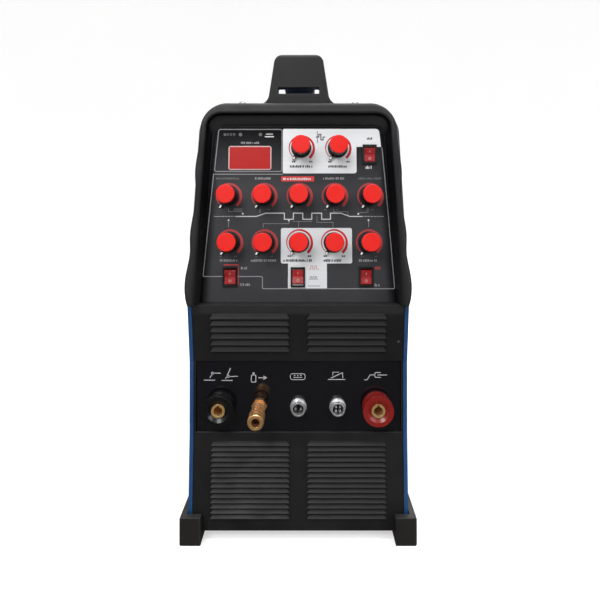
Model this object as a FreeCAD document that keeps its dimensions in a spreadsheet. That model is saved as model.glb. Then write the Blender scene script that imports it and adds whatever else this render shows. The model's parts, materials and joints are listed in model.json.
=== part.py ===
import FreeCAD, Part

import math
import os

# TIG welding machine, millimetres. X is to the right seen from the front, Y goes to the back, Z is up.
# The origin is on the floor under the middle of the overall box.

doc = FreeCAD.newDocument("tig_welder")
sheet = doc.addObject("Spreadsheet::Sheet", "Dims")

DIMENSIONS = {
    # body shell
    "cover_width": 227.0, "cover_top": 452.0, "cover_bottom": 9.0, "sheet_thick": 1.2, "cover_lip": 4.0,
    "cover_proud": 0.7, "cover_rear": 203.0, "corner_radius": 28.0, "cover_top_front": -135.0,
    "vent_count": 9.0, "vent_first": 70.0, "vent_pitch": 9.0, "vent_height": 3.0,
    # feet
    "foot_outer": 120.5, "foot_inner": 99.0, "foot_height": 28.0, "foot_front": -213.0, "foot_length": 430.0,
    # front fascia
    "fascia_width": 218.4, "fascia_bottom": 9.0, "fascia_top": 242.0, "band_bottom": 108.0,
    "band_top": 181.0,
    "band_face": -193.0, "band_recess": 2.5, "fascia_low_face": -202.5, "fascia_top_face": -206.0,
    "fascia_thick": 3.0, "fascia_depth": 18.0, "band_plate_thick": 2.0,
    # louvres
    "louvre_length": 82.0, "louvre_middle": 50.0, "louvre_taper": 3.0, "louvre_depth": 2.8,
    "upper_louvre_pitch": 7.1, "lower_louvre_pitch": 5.2, "upper_louvre_count": 6.0,
    "lower_louvre_count": 15.0,
    "upper_louvre_first": 47.0, "lower_louvre_first": 85.5, "upper_louvre_height": 5.6,
    "lower_louvre_height": 4.2,
    # control hood
    "hood_bottom": 243.0, "hood_top": 454.0, "hood_front": -215.0, "hood_tilt": 10.0, "hood_wall": 3.0,
    "hood_rim_round": 3.4, "hood_rim_top": 13.0, "hood_corner": 31.0,
    # control panel
    "panel_bottom": 244.0, "panel_face": -193.0, "panel_tilt": 6.0, "plate_thick": 1.5, "film_thick": 0.4,
    "row_one_height": 162.4, "row_two_height": 110.5, "row_three_height": 60.9, "row_one_pitch": 39.4,
    "row_two_pitch": 37.8, "row_three_pitch": 36.9, "row_middle": 0.5, "row_one_middle": 22.4,
    "panel_skirt": 1.7, "knob_radius": 9.3, "knob_height": 20.5, "cap_radius": 9.6, "cap_thick": 3.0,
    "knob_gap": 0.6, "shaft_radius": 3.0, "skirt_radius": 10.8, "skirt_thick": 3.0, "pointer_reach": 15.6,
    "pointer_angle": 214.0,
    "bezel_width": 15.0, "bezel_height": 21.0, "rocker_width": 11.6, "rocker_height": 16.6,
    "rocker_angle": 9.0,
    "window_width": 44.0, "window_height": 24.0, "window_middle": -52.5, "window_level": 151.7,
    # sockets
    "socket_level": 134.0, "socket_pitch": 41.0, "collar_radius": 15.8, "collar_length": 16.0,
    "insert_radius": 7.0, "insert_bore": 4.6,
    "remote_radius": 7.0, "remote_nut": 8.6, "remote_length": 11.0,
    "gas_neck_radius": 5.2, "gas_body_radius": 6.3, "gas_sleeve_radius": 8.2, "gas_length": 43.0,
    "gas_sleeve_length": 18.0, "gas_bore": 4.2,
    # handle
    "handle_top": 509.5, "tongue_thick": 14.0, "tongue_front": -168.0, "grip_width": 38.0,
    "grip_height": 27.0,
    "slot_width": 45.0, "slot_height": 7.0, "slot_level": 466.0, "rear_tongue_front": 150.0,
    # rear
    "rear_face": 209.0, "fan_level": 132.0, "fan_size": 120.0, "fan_depth": 25.0, "blade_radius": 53.0,
}

for row, (alias, value) in enumerate(DIMENSIONS.items(), start=1):
    sheet.set(f"A{row}", alias)
    sheet.set(f"B{row}", str(value))
    sheet.setAlias(f"B{row}", alias)
doc.recompute()

D = dict(DIMENSIONS)


# ---------------------------------------------------------------- helpers


def bind(obj, **expressions):
    """Binds properties to expressions; x, y and z stand for the placement's position."""
    for name, text in expressions.items():
        path = f"Placement.Base.{name}" if name in ("x", "y", "z") else name
        obj.setExpression(path, str(text))
    return obj


def named(kind, name):
    obj = doc.addObject(kind, name)
    obj.Label = name
    return obj


def turned(obj, axis, angle):
    obj.Placement = FreeCAD.Placement(FreeCAD.Vector(), FreeCAD.Rotation(FreeCAD.Vector(*axis), angle))
    return obj


def box(name, x, y, z, length, width, height):
    """A box from its low corner; every number may be an expression."""
    return bind(named("Part::Box", name), x=x, y=y, z=z, Length=length, Width=width, Height=height)


def rod(name, x, y, z, radius, length, axis="y"):
    """A cylinder that starts at a point and runs along plus X, Y or Z."""
    obj = named("Part::Cylinder", name)
    if axis == "y":
        turned(obj, (1, 0, 0), -90)
    if axis == "x":
        turned(obj, (0, 1, 0), 90)
    return bind(obj, x=x, y=y, z=z, Radius=radius, Height=length)


def cone(name, x, y, z, start_radius, end_radius, length):
    obj = turned(named("Part::Cone", name), (1, 0, 0), -90)
    return bind(obj, x=x, y=y, z=z, Radius1=start_radius, Radius2=end_radius, Height=length)


def hexagon(name, x, y, z, across_corners_radius, length):
    obj = turned(named("Part::Prism", name), (1, 0, 0), -90)
    obj.Polygon = 6
    return bind(obj, x=x, y=y, z=z, Circumradius=across_corners_radius, Height=length)


def fuse(name, *shapes):
    obj = named("Part::MultiFuse", name)
    obj.Shapes = list(shapes)
    obj.Refine = True
    return obj


def group(name, *shapes):
    """Several separate solids that make one sub-part."""
    obj = named("Part::Compound", name)
    obj.Links = list(shapes)
    return obj


def cut(name, base, *tools):
    obj = named("Part::Cut", name)
    obj.Base = base
    obj.Tool = tools[0] if len(tools) == 1 else fuse(name + "_tools", *tools)
    return obj


def common(name, first, second):
    obj = named("Part::Common", name)
    obj.Base = first
    obj.Tool = second
    return obj


def extrude(name, base, direction, length):
    obj = named("Part::Extrusion", name)
    obj.Base = base
    obj.DirMode = "Custom"
    obj.Dir = FreeCAD.Vector(*direction)
    obj.Solid = True
    return bind(obj, LengthFwd=length)


def rounded_wire(corners):
    """A closed wire through (point, radius) corners, with an arc at each corner that has a radius."""
    edges = []
    arcs = []
    count = len(corners)
    for i, (point, radius) in enumerate(corners):
        before = (corners[i - 1][0] - point).normalize()
        after = (corners[(i + 1) % count][0] - point).normalize()
        if radius <= 0:
            arcs.append((point, None, point))
            continue
        half = before.getAngle(after) / 2
        reach = radius / math.tan(half)
        middle = (before + after).normalize() * (radius / math.sin(half) - radius)
        arcs.append((point + before * reach, point + middle, point + after * reach))
    for i, (start, middle, end) in enumerate(arcs):
        if middle is not None:
            edges.append(Part.Arc(start, middle, end).toShape())
        following = arcs[(i + 1) % count][0]
        if end.distanceToPoint(following) > 1e-6:
            edges.append(Part.LineSegment(end, following).toShape())
    return Part.Wire(edges)


def plane_point(plane, u, v, at):
    if plane == "xz":
        return FreeCAD.Vector(u, at, v)
    if plane == "yz":
        return FreeCAD.Vector(at, u, v)
    return FreeCAD.Vector(u, v, at)


def outline(name, plane, at, corners):
    """A flat face in the xz, yz or xy plane from (u, v, corner radius) corners."""
    obj = named("Part::Feature", name)
    points = [(plane_point(plane, u, v, at), radius) for u, v, radius in corners]
    obj.Shape = Part.Face(rounded_wire(points))
    return obj


def slab(name, plane, at, corners, length):
    """An outline given a thickness along its plane's positive axis."""
    direction = {"xz": (0, 1, 0), "yz": (1, 0, 0), "xy": (0, 0, 1)}[plane]
    return extrude(name, outline(name + "_outline", plane, at, corners), direction, length)


def on_panel(obj, x="0", height="0"):
    """Carries a piece drawn flat (face at y = 0, bottom at z = 0) to a place on the leaning control panel."""
    turned(obj, (1, 0, 0), -D["panel_tilt"])
    y = f"Dims.panel_face + ({height}) * sin(Dims.panel_tilt)"
    z = f"Dims.panel_bottom + ({height}) * cos(Dims.panel_tilt)"
    return bind(obj, x=x, y=y, z=z)


def instance(name, master):
    """A named copy of a master shape with its own placement."""
    return group(name, master)


def mirrored(name, source):
    obj = named("Part::Mirroring", name)
    obj.Source = source
    obj.Normal = FreeCAD.Vector(1, 0, 0)
    return obj


def lean(height, foot, angle):
    """Y of a plane that passes through `foot` = (y, z) and leans back by an angle, at a height."""
    return foot[0] + (height - foot[1]) * math.tan(math.radians(angle))


# ---------------------------------------------------------------- cover, tray and feet


def face_line(ahead=0.0):
    """The front face in side view, from the bottom up, as (y, z) points; `ahead` moves it forwards."""
    return [
        (D["fascia_low_face"] - ahead, D["fascia_bottom"]),
        (D["band_face"] - D["band_recess"] - ahead, D["band_bottom"] - 0.5),
        (D["band_face"] - D["band_recess"] - ahead, D["band_top"] + 0.5),
        (D["fascia_top_face"] - ahead, D["fascia_top"]),
    ]


def cover_front():
    return D["fascia_top_face"] - D["cover_proud"]


SIDE_SCREWS = (-140, 20, 180)
SIDE_SCREW_LEVEL = 33.5


def side_screw_holes(name):
    """Holes right across the machine for the screws that hold the cover's sides to the tray."""
    start = "-Dims.cover_width / 2 - 5"
    return [rod(f"{name}_{n}", start, y, SIDE_SCREW_LEVEL, 2, "Dims.cover_width + 10", "x")
            for n, y in enumerate(SIDE_SCREWS)]


def make_cover():
    half = D["cover_width"] / 2
    top = D["cover_top"]
    bottom = D["cover_bottom"]
    sheet_thick = D["sheet_thick"]
    radius = D["corner_radius"]
    front = cover_front()
    length = f"Dims.cover_rear - ({front})"
    outer = [(-half, bottom, 0), (half, bottom, 0), (half, top, radius), (-half, top, radius)]
    inside = half - sheet_thick
    ceiling = top - sheet_thick
    inner = [
        (-inside, bottom - 5, 0), (inside, bottom - 5, 0),
        (inside, ceiling, radius - sheet_thick), (-inside, ceiling, radius - sheet_thick),
    ]
    shell = slab("cover_outer", "xz", front, outer, length)
    hollow = slab("cover_hollow", "xz", front, inner, length)
    edge = [(y, z, 0) for y, z in face_line(D["cover_proud"])]
    low = [(front - 5, bottom - 5, 0), (edge[0][0], bottom - 5, 0)]
    high = [(D["cover_top_front"], top, 0), (D["cover_top_front"], top + 5, 0), (front - 5, top + 5, 0)]
    front_tool = slab("cover_front_cut", "yz", -half - 5, low + edge + high, "Dims.cover_width + 10")
    slots = []
    for row in range(int(D["vent_count"])):
        foot = D["vent_first"] + row * D["vent_pitch"]
        crown = foot + D["vent_height"]
        slot = [(95, foot, 1.4), (175, foot, 1.4), (175, crown, 1.4), (95, crown, 1.4)]
        slots.append(slab(f"cover_vent_{row}", "yz", -half - 5, slot, "Dims.cover_width + 10"))
    screw_holes = side_screw_holes("cover_screw_hole")
    sheet_shell = cut("cover_shell", shell, hollow, front_tool, *slots, *screw_holes)

    lip_back = [(y, z, 0) for y, z in reversed(face_line(D["cover_proud"] - sheet_thick))]
    right_lip = slab("cover_right_lip", "yz", half - D["cover_lip"], edge + lip_back, "Dims.cover_lip")
    fuse("cover", sheet_shell, right_lip, mirrored("cover_left_lip", right_lip))


def make_tray():
    y = "Dims.band_face + Dims.fascia_depth"
    z = "Dims.cover_bottom"
    length = "Dims.cover_rear - Dims.band_face - Dims.fascia_depth"
    reach = "Dims.cover_width / 2 - Dims.sheet_thick - 0.3"
    floor = box("tray_floor", f"-({reach})", y, z, f"2 * ({reach})", length, 1.5)
    left = box("tray_left_flange", f"-({reach})", y, z, 1.5, length, 30)
    right = box("tray_right_flange", f"{reach} - 1.5", y, z, 1.5, length, 30)
    start = "Dims.fascia_low_face + Dims.fascia_thick + 0.5"
    lip = box("tray_front_lip", "-Dims.fascia_width / 2 + 2.5", start, z, "Dims.fascia_width - 5",
              f"Dims.band_face + Dims.fascia_depth - ({start})", 1.5)
    cut("base_tray", fuse("tray_body", floor, left, right, lip), *side_screw_holes("tray_screw_hole"))


def make_feet():
    front = D["foot_front"]
    back = front + D["foot_length"]
    width = "Dims.foot_outer - Dims.foot_inner"
    runner = box("foot_runner", "Dims.foot_inner", "Dims.foot_front", 0, width, "Dims.foot_length",
        "Dims.foot_height")
    seat = box("foot_seat", "Dims.foot_inner - 1", "Dims.foot_front + 7.5", "Dims.cover_bottom",
               "Dims.cover_width / 2 + 0.7 - Dims.foot_inner + 1", "Dims.foot_length - 15",
               "Dims.foot_height")
    right = cut("foot_shape", runner, seat)
    doc.recompute()
    rounded = named("Part::Fillet", "foot_right")
    rounded.Base = right
    outer = D["foot_outer"]
    edges = []
    for number, edge in enumerate(right.Shape.Edges, start=1):
        middle = edge.CenterOfMass
        long_edge = edge.Length > D["foot_length"] - 1 and abs(middle.x - outer) < 0.01
        upright = abs(middle.x - outer) < 0.01 and min(abs(middle.y - front), abs(middle.y - back)) < 0.01
        if long_edge or (upright and abs(edge.tangentAt(edge.FirstParameter).z) > 0.9):
            edges.append((number, 2.0, 2.0))
    rounded.Edges = edges
    mirrored("foot_left", rounded)


# ---------------------------------------------------------------- front fascia


def louvre_block(name, count, pitch, first, height, cutter):
    """Louvres in two columns, drawn on the plane y = 0 and pointing to minus Y; or the slots behind them."""
    wedges = []
    inset = 3 if cutter else 0
    depth = "Dims.louvre_depth - 1" if cutter else "Dims.louvre_depth"
    root = 6 if cutter else 0.5
    crown = f"{height} - 1.6" if cutter else height
    crown_depth = -0.7 if cutter else 0
    for row in range(count):
        wedge = turned(named("Part::Wedge", f"{name}_{row}"), (1, 0, 0), 90)
        half = f"Dims.louvre_length / 2 - {inset}"
        bind(wedge, Xmin=f"-({half})", Xmax=half, X2min=f"-({half}) + Dims.louvre_taper",
             X2max=f"{half} - Dims.louvre_taper", Ymin=0, Ymax=crown, Zmin=-root, Zmax=depth, Z2min=-root,
             Z2max=crown_depth)
        bind(wedge, x="Dims.louvre_middle", z=f"{first} - {row} * {pitch}")
        wedges.append(wedge)
    right = fuse(name + "_right", *wedges)
    return fuse(name, right, mirrored(name + "_left", right))


def place_leaning(obj, foot, angle):
    """Puts a block drawn on the plane y = 0 on a plane that leans back by an angle."""
    turned(obj, (1, 0, 0), -angle)
    obj.Placement.Base = FreeCAD.Vector(0, foot[0], foot[1])
    return obj


def make_fascia():
    low, low_top, high_bottom, high = face_line()
    plate_back = D["band_face"] + D["band_plate_thick"]
    thick = D["fascia_thick"]
    half = D["fascia_width"] / 2
    shelf_back = D["panel_face"] + D["plate_thick"]
    skin = [
        (*low, 0), (*low_top, 0.8), (plate_back, D["band_bottom"], 0), (plate_back, D["band_top"], 0),
        (*high_bottom, 0.8), (*high, 0), (shelf_back, high[1], 0), (shelf_back, high[1] - 2, 0),
        (high[0] + thick, high[1] - 2, 0), (high_bottom[0] + thick, high_bottom[1] + thick, 0),
        (plate_back + thick, D["band_top"] + thick, 0), (plate_back + thick, D["band_bottom"] - thick, 0),
        (low_top[0] + thick, low_top[1] - thick, 0), (low[0] + thick, low[1], 0),
    ]
    wall = slab("fascia_skin", "yz", -half, skin, "Dims.fascia_width")
    back = D["band_face"] + D["fascia_depth"]
    side = [(*low, 0), (*low_top, 0), (*high_bottom, 0), (*high, 0), (back, high[1], 0), (back, low[1], 0)]
    left = slab("fascia_left_side", "yz", -half, side, 2)
    right = slab("fascia_right_side", "yz", half - 2, side, 2)

    low_lean = math.degrees(math.atan2(low_top[0] - low[0], low_top[1] - low[1]))
    high_lean = math.degrees(math.atan2(high[0] - high_bottom[0], high[1] - high_bottom[1]))
    raised = []
    slots = []
    for level, foot, angle in (("lower", low, low_lean), ("upper", high_bottom, high_lean)):
        count = int(D[f"{level}_louvre_count"])
        sizes = [f"Dims.{level}_louvre_{size}" for size in ("pitch", "first", "height")]
        raised.append(place_leaning(louvre_block(f"{level}_louvre", count, *sizes, False), foot, angle))
        slots.append(place_leaning(louvre_block(f"{level}_slot", count, *sizes, True), foot, angle))
    holes = socket_holes("fascia", 12.2, 7.2, 6.2)
    screw_hole = rod("fascia_screw_hole", 104, -205, 203, 1.3, 12)
    cut("front_fascia", fuse("fascia_walls", wall, left, right, *raised), *slots, *holes, screw_hole)

    plate = box("socket_plate_blank", "-Dims.fascia_width / 2 + 2.3", "Dims.band_face",
        "Dims.band_bottom + 0.3",
                "Dims.fascia_width - 4.6", "Dims.band_plate_thick", "Dims.band_top - Dims.band_bottom - 0.6")
    cut("socket_plate", plate, *socket_holes("plate", 12.2, 7.2, 6.2))


def socket_holes(name, current, remote, gas):
    radii = {-2: current, -1: gas, 0: remote, 1: remote, 2: current}
    holes = []
    for place, radius in radii.items():
        x = f"{place} * Dims.socket_pitch"
        holes.append(rod(f"{name}_hole_{place + 2}", x, "Dims.band_face - 5", "Dims.socket_level", radius,
            30))
    return holes


# ---------------------------------------------------------------- sockets on the band


def make_current_socket(name, place):
    x = f"{place} * Dims.socket_pitch"
    z = "Dims.socket_level"
    length = "Dims.collar_length"
    collar = rod(f"{name}_collar", x, f"Dims.band_face - {length}", z, "Dims.collar_radius", 7)
    waist = rod(f"{name}_waist", x, f"Dims.band_face - {length}", z, "Dims.collar_radius - 1.8", length)
    flange = rod(f"{name}_flange", x, "Dims.band_face - 3", z, "Dims.collar_radius - 0.6", 3)
    thread = rod(f"{name}_thread", x, "Dims.band_face", z, 12, 26)
    nut = hexagon(f"{name}_nut", x, "Dims.band_face + Dims.band_plate_thick + Dims.fascia_thick", z, 17, 6)
    bore = rod(f"{name}_bore", x, "Dims.band_face - 30", z, "Dims.insert_radius", 70)
    mouth = cone(f"{name}_mouth", x, f"Dims.band_face - {length}", z, 11.5, "Dims.insert_radius", 3)
    cut(name, fuse(f"{name}_body", collar, waist, flange, thread, nut), bore, mouth)


def make_inserts():
    inserts = []
    for side, place in (("left", -2), ("right", 2)):
        x = f"{place} * Dims.socket_pitch"
        z = "Dims.socket_level"
        start = "Dims.band_face - Dims.collar_length + 1"
        barrel = rod(f"insert_{side}_barrel", x, start, z, "Dims.insert_radius", 50)
        bore = rod(f"insert_{side}_bore", x, start, z, "Dims.insert_bore", 34)
        key = box(f"insert_{side}_key", f"{x} - 1.1", start, f"{z} + 3.5", 2.2, 12, 2.6)
        inserts.append(cut(f"insert_{side}", barrel, bore, key))
    group("socket_inserts", *inserts)


def make_gas_outlet():
    """A quick coupler: a stepped brass body on the band and a sleeve that slides back towards it."""
    x = "-Dims.socket_pitch"
    z = "Dims.socket_level"
    face = "Dims.band_face"
    tip = "Dims.band_face - Dims.gas_length"
    base = hexagon("gas_base", x, f"{face} - 3", z, 8.2, 3)
    neck = rod("gas_neck", x, f"{face} - 12", z, "Dims.gas_neck_radius", 12)
    rings = [
        rod("gas_ring_0", x, f"{face} - 13", z, 6.2, 3),
        rod("gas_ring_1", x, f"{face} - 20", z, 7.2, 4),
    ]
    body = rod("gas_body_tube", x, tip, z, "Dims.gas_body_radius - 0.4", "Dims.gas_length - 12")
    stem = rod("gas_stem", x, face, z, 6, 28)
    bore = rod("gas_bore", x, tip, z, "Dims.gas_bore", "Dims.gas_length + 28")
    nut = hexagon("gas_nut", x, "Dims.band_face + Dims.band_plate_thick + Dims.fascia_thick", z, 10, 5)
    cut("gas_outlet", fuse("gas_body", base, neck, *rings, body, stem, nut), bore)

    length = "Dims.gas_sleeve_length"
    tube = rod("sleeve_tube", x, f"{tip} + 1.2", z, "Dims.gas_sleeve_radius", f"{length} - 1.2")
    nose = cone("sleeve_nose", x, tip, z, "Dims.gas_sleeve_radius - 1", "Dims.gas_sleeve_radius", 1.2)
    hole = rod("sleeve_hole", x, tip, z, "Dims.gas_body_radius - 0.35", length)
    grooves = []
    for number in range(3):
        start = f"{tip} + 8 + {number} * 3.2"
        outer = rod(f"groove_{number}_outer", x, start, z, "Dims.gas_sleeve_radius + 1", 1.4)
        core = rod(f"groove_{number}_core", x, start, z, "Dims.gas_sleeve_radius - 0.9", 1.4)
        grooves.append(cut(f"groove_{number}", outer, core))
    cut("gas_sleeve", fuse("sleeve_body", tube, nose), hole, *grooves)


def make_remote_sockets():
    shells = []
    inserts = []
    z = "Dims.socket_level"
    face = "Dims.band_face"
    for place, pins in ((0, 2), (1, 4)):
        x = f"{place} * Dims.socket_pitch"
        tube = rod(f"remote_{place}_tube", x, f"{face} - Dims.remote_length", z, "Dims.remote_radius",
                   "Dims.remote_length + 20")
        collar = rod(f"remote_{place}_collar", x, f"{face} - 3", z, "Dims.remote_nut", 3)
        nut = hexagon(f"remote_{place}_nut", x,
            "Dims.band_face + Dims.band_plate_thick + Dims.fascia_thick", z, 9.5, 4)
        bore = rod(f"remote_{place}_bore", x, f"{face} - Dims.remote_length", z, "Dims.remote_radius - 1.3",
                   "Dims.remote_length + 20")
        shells.append(cut(f"remote_{place}_shell", fuse(f"remote_{place}_body", tube, collar, nut), bore))
        block = rod(f"remote_{place}_block", x, f"{face} - 4", z, "Dims.remote_radius - 1.3", 20)
        holes = []
        for pin in range(pins):
            angle = math.radians(360 / pins * pin + (0 if pins == 2 else 45))
            spread = 2.8 if pins == 2 else 2.9
            px = f"{x} + {spread * math.cos(angle):.4f}"
            pz = f"{z} + {spread * math.sin(angle):.4f}"
            holes.append(rod(f"remote_{place}_pin_hole_{pin}", px, f"{face} - 4", pz, 1.1, 20))
            shells.append(rod(f"remote_{place}_pin_{pin}", px, f"{face} - 9", pz, 1.1, 27))
        inserts.append(cut(f"remote_{place}_insert", block, *holes))
    group("remote_shells", *shells)
    group("remote_inserts", *inserts)


# ---------------------------------------------------------------- control hood and handle

SIDE_WAVE = [(112.2, 243), (115.2, 256), (115.2, 270), (111.3, 297), (111.9, 311), (108.3, 343),
    (107.8, 362),
             (109.0, 378), (106.9, 401), (104.9, 429)]


def rim_y(z):
    return lean(z, (D["hood_front"], 258), D["hood_tilt"])


def panel_y(z):
    return lean(z, (D["panel_face"], D["panel_bottom"]), D["panel_tilt"])


def slant_y(z):
    """Y of the cover's leaning front edge behind the hood."""
    rise = D["cover_top"] - D["fascia_top"]
    return cover_front() + (z - D["fascia_top"]) * (D["cover_top_front"] - cover_front()) / rise


def arch_wire(name, plane_y, side, top, radius):
    """A closed arch on a leaning plane: a side curve through (half width, z) points and a flat top."""
    def at(x, z):
        return FreeCAD.Vector(x, plane_y(z), z)

    shoulder_half, shoulder_z = side[-1]
    bend = shoulder_half - radius * (1 - math.sqrt(0.5)), top - (top - shoulder_z) * (1 - math.sqrt(0.5))
    roof_half = shoulder_half - radius
    edges = []
    for sign in (1, -1):
        points = [at(sign * half, z) for half, z in side]
        corner = Part.Arc(points[-1], at(sign * bend[0], bend[1]), at(sign * roof_half, top)).toShape()
        if len(points) > 2:
            curve = Part.BSplineCurve()
            curve.interpolate(points)
            flank = curve.toShape()
        else:
            flank = Part.LineSegment(*points).toShape()
        edges.append((flank, corner))
    roof = Part.LineSegment(at(roof_half, top), at(-roof_half, top)).toShape()
    sill = Part.LineSegment(at(-side[0][0], side[0][1]), at(side[0][0], side[0][1])).toShape()
    obj = named("Part::Feature", name)
    obj.Shape = Part.Wire([edges[0][0], edges[0][1], roof, edges[1][1], edges[1][0], sill])
    return obj


def loft(name, *wires):
    obj = named("Part::Loft", name)
    obj.Sections = list(wires)
    obj.Solid = True
    obj.Ruled = True
    return obj


def opening_wire(name, plane_y, low_half, high_half, top, radius, grow, bottom):
    side = [(low_half + grow, bottom), (high_half + grow, top - radius)]
    return arch_wire(name, plane_y, side, top + grow, radius + grow)


def rim_steps():
    """The rounded rim as (how far in from the full outline, how far back from the rim plane) steps."""
    radius = D["hood_rim_round"]
    return [(radius * (1 - math.sin(angle)), radius * (1 - math.cos(angle)))
            for angle in (0, math.radians(30), math.radians(60), math.radians(90))]


def make_hood():
    top = D["hood_top"]
    bottom = D["hood_bottom"]
    rear_half = D["cover_width"] / 2 + 0.5
    rear_radius = D["corner_radius"]
    rim_top = top - D["hood_rim_top"]
    skin_wires = []
    opening_wires = []
    for number, (inset, back) in enumerate(rim_steps()):
        def plane(z, back=back):
            return rim_y(z) + back
        wave = [(half - inset, z) for half, z in SIDE_WAVE]
        skin_wires.append(arch_wire(f"hood_front_wire_{number}", plane, wave, top - inset,
            D["hood_corner"] - inset))
        opening_wires.append(opening_wire(
            f"opening_wire_{number}", lambda z, back=back: rim_y(z) + 2 * back, 104.5, 97.0, rim_top, 14,
            inset,
            bottom - 6))
    rear_side = [(rear_half, bottom), (rear_half, top - rear_radius)]
    skin_wires.append(arch_wire("hood_rear_wire", slant_y, rear_side, top, rear_radius))
    skin = loft("hood_skin", *skin_wires)

    wall = D["hood_wall"]
    ring = loft(
        "hood_ring",
        opening_wire("ring_front_wire", lambda z: rim_y(z) + 4, 104.5, 97.0, rim_top, 14, wall, bottom),
        opening_wire("ring_back_wire", panel_y, 103.5, 93.0, 430, 12, wall, bottom),
    )
    opening_wires.append(opening_wire("opening_back_wire", panel_y, 103.5, 93.0, 430, 12, 0, bottom - 6))
    opening = loft("hood_opening", *opening_wires)
    cavity = loft(
        "hood_cavity",
        opening_wire("cavity_front_wire", panel_y, 103.5, 93.0, 430, 12, wall + 1, bottom - 6),
        arch_wire("cavity_back_wire", lambda z: slant_y(z) + 25, [(110.5, bottom - 6), (110.5, 425)],
            top - 5, 24),
    )
    screw_holes = [rod(f"hood_screw_hole_{n}", x, -165, top - 4, 2, 10, "z")
                   for n, x in enumerate((-62, 62))]
    cut("control_hood", fuse("hood_body", skin, ring), opening, cavity, *screw_holes)


def make_handle():
    """The front tongue, the grip and the rear tongue, one moulding."""
    base = D["hood_top"]
    top = D["handle_top"]
    flare = [(44, 0.0), (38.5, 1.8), (34.8, 5.2), (32.6, 11.0)]
    sides = []
    for name, start in (("front", "tongue_front"), ("rear", "rear_tongue_front")):
        seat = base if name == "front" else D["cover_top"]
        right = [FreeCAD.Vector(half, 0, seat + rise) for half, rise in flare]
        left = [FreeCAD.Vector(-v.x, 0, v.z) for v in right]
        rise = Part.BSplineCurve()
        rise.interpolate(right)
        fall = Part.BSplineCurve()
        fall.interpolate(left)
        shoulder = FreeCAD.Vector(27.4, 0, top - 11)
        bend = FreeCAD.Vector(24.0, 0, top - 3.1)
        roof = FreeCAD.Vector(16.2, 0, top)
        edges = [rise.toShape(), Part.LineSegment(right[-1], shoulder).toShape(),
            Part.Arc(shoulder, bend, roof).toShape()]
        mirror = [FreeCAD.Vector(-v.x, 0, v.z) for v in (roof, bend, shoulder)]
        edges += [Part.LineSegment(roof, mirror[0]).toShape(), Part.Arc(*mirror).toShape()]
        edges += [Part.LineSegment(mirror[2], left[-1]).toShape(), fall.toShape()]
        edges += [Part.LineSegment(left[0], right[0]).toShape()]
        face = named("Part::Feature", f"{name}_tongue_outline")
        face.Shape = Part.Face(Part.Wire(edges))
        bind(face, y=f"Dims.{start}")
        sides.append(extrude(f"{name}_tongue", face, (0, 1, 0), "Dims.tongue_thick"))
    half_grip = D["grip_width"] / 2
    low = top - D["grip_height"]
    inset = 1.5
    section = [(-half_grip, low, 6), (half_grip, low, 6), (half_grip, top - inset, 9),
        (-half_grip, top - inset, 9)]
    grip = slab("grip_bar", "xz", D["tongue_front"] + 5, section,
        "Dims.rear_tongue_front - Dims.tongue_front + 4")
    first = D["tongue_front"]
    last = D["rear_tongue_front"] + D["tongue_thick"]
    profile = [(first, base - 5, 0), (first, top, 4), (last, top, 8), (last, base - 5, 0)]
    limit = slab("handle_profile", "yz", -50, profile, 100)
    slot = [
        (-D["slot_width"] / 2, D["slot_level"], 1.2), (D["slot_width"] / 2, D["slot_level"], 1.2),
        (D["slot_width"] / 2, D["slot_level"] + D["slot_height"], 1.2),
        (-D["slot_width"] / 2, D["slot_level"] + D["slot_height"], 1.2),
    ]
    slot_tool = slab("strap_slot", "xz", first - 5, slot, "Dims.tongue_thick + 10")
    body = fuse("handle_body", *sides, grip)
    cut("carry_handle", common("handle_shape", body, limit), slot_tool)


# ---------------------------------------------------------------- control panel

KNOBS = {
    "ac_frequency": ("one", -0.5), "ac_balance": ("one", 0.5),
    "start_current": ("two", -2), "up_slope": ("two", -1), "weld_current": ("two", 0),
    "down_slope": ("two", 1),
    "end_current": ("two", 2),
    "pre_flow": ("three", -2), "base_current": ("three", -1), "pulse_frequency": ("three", 0),
    "pulse_duty": ("three", 1), "post_flow": ("three", 2),
}

ROCKERS = {
    "output": (76.5, 155.6, 1), "mode": (-71.9, 25.2, 1), "pulse": (-0.6, 24.5, -1),
    "trigger": (71.2, 25.2, 1),
}


def knob_place(name):
    """Where a knob sits on the panel, as expressions for x and for the height along the panel."""
    row, step = KNOBS[name]
    middle = "Dims.row_one_middle" if row == "one" else "Dims.row_middle"
    return f"{middle} + ({step}) * Dims.row_{row}_pitch", f"Dims.row_{row}_height"


def panel_blank(name, start, thick, grow, bottom):
    low = 103.5 + grow
    high = 92.2 + grow
    top = (430 - D["panel_bottom"]) / math.cos(math.radians(D["panel_tilt"])) + grow
    corner = 12 + grow
    corners = [(-low, bottom, 0), (low, bottom, 0), (high, top, corner), (-high, top, corner)]
    return slab(name, "xz", start, corners, thick)


def panel_holes(name, rocker_margin, window_margin):
    holes = []
    for knob in KNOBS:
        x, height = knob_place(knob)
        holes.append(rod(f"{name}_{knob}_hole", x, -5, height, "Dims.shaft_radius + 0.5", 20))
    for rocker, (x, height, _) in ROCKERS.items():
        width = f"Dims.bezel_width - {rocker_margin}"
        tall = f"Dims.bezel_height - {rocker_margin}"
        holes.append(box(f"{name}_{rocker}_hole", f"{x} - ({width}) / 2", -5, f"{height} - ({tall}) / 2",
            width, 20, tall))
    wide = f"Dims.window_width - {window_margin}"
    high = f"Dims.window_height - {window_margin}"
    holes.append(box(f"{name}_window_hole", f"Dims.window_middle - ({wide}) / 2", -5,
                     f"Dims.window_level - ({high}) / 2", wide, 20, high))
    return holes


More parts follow.
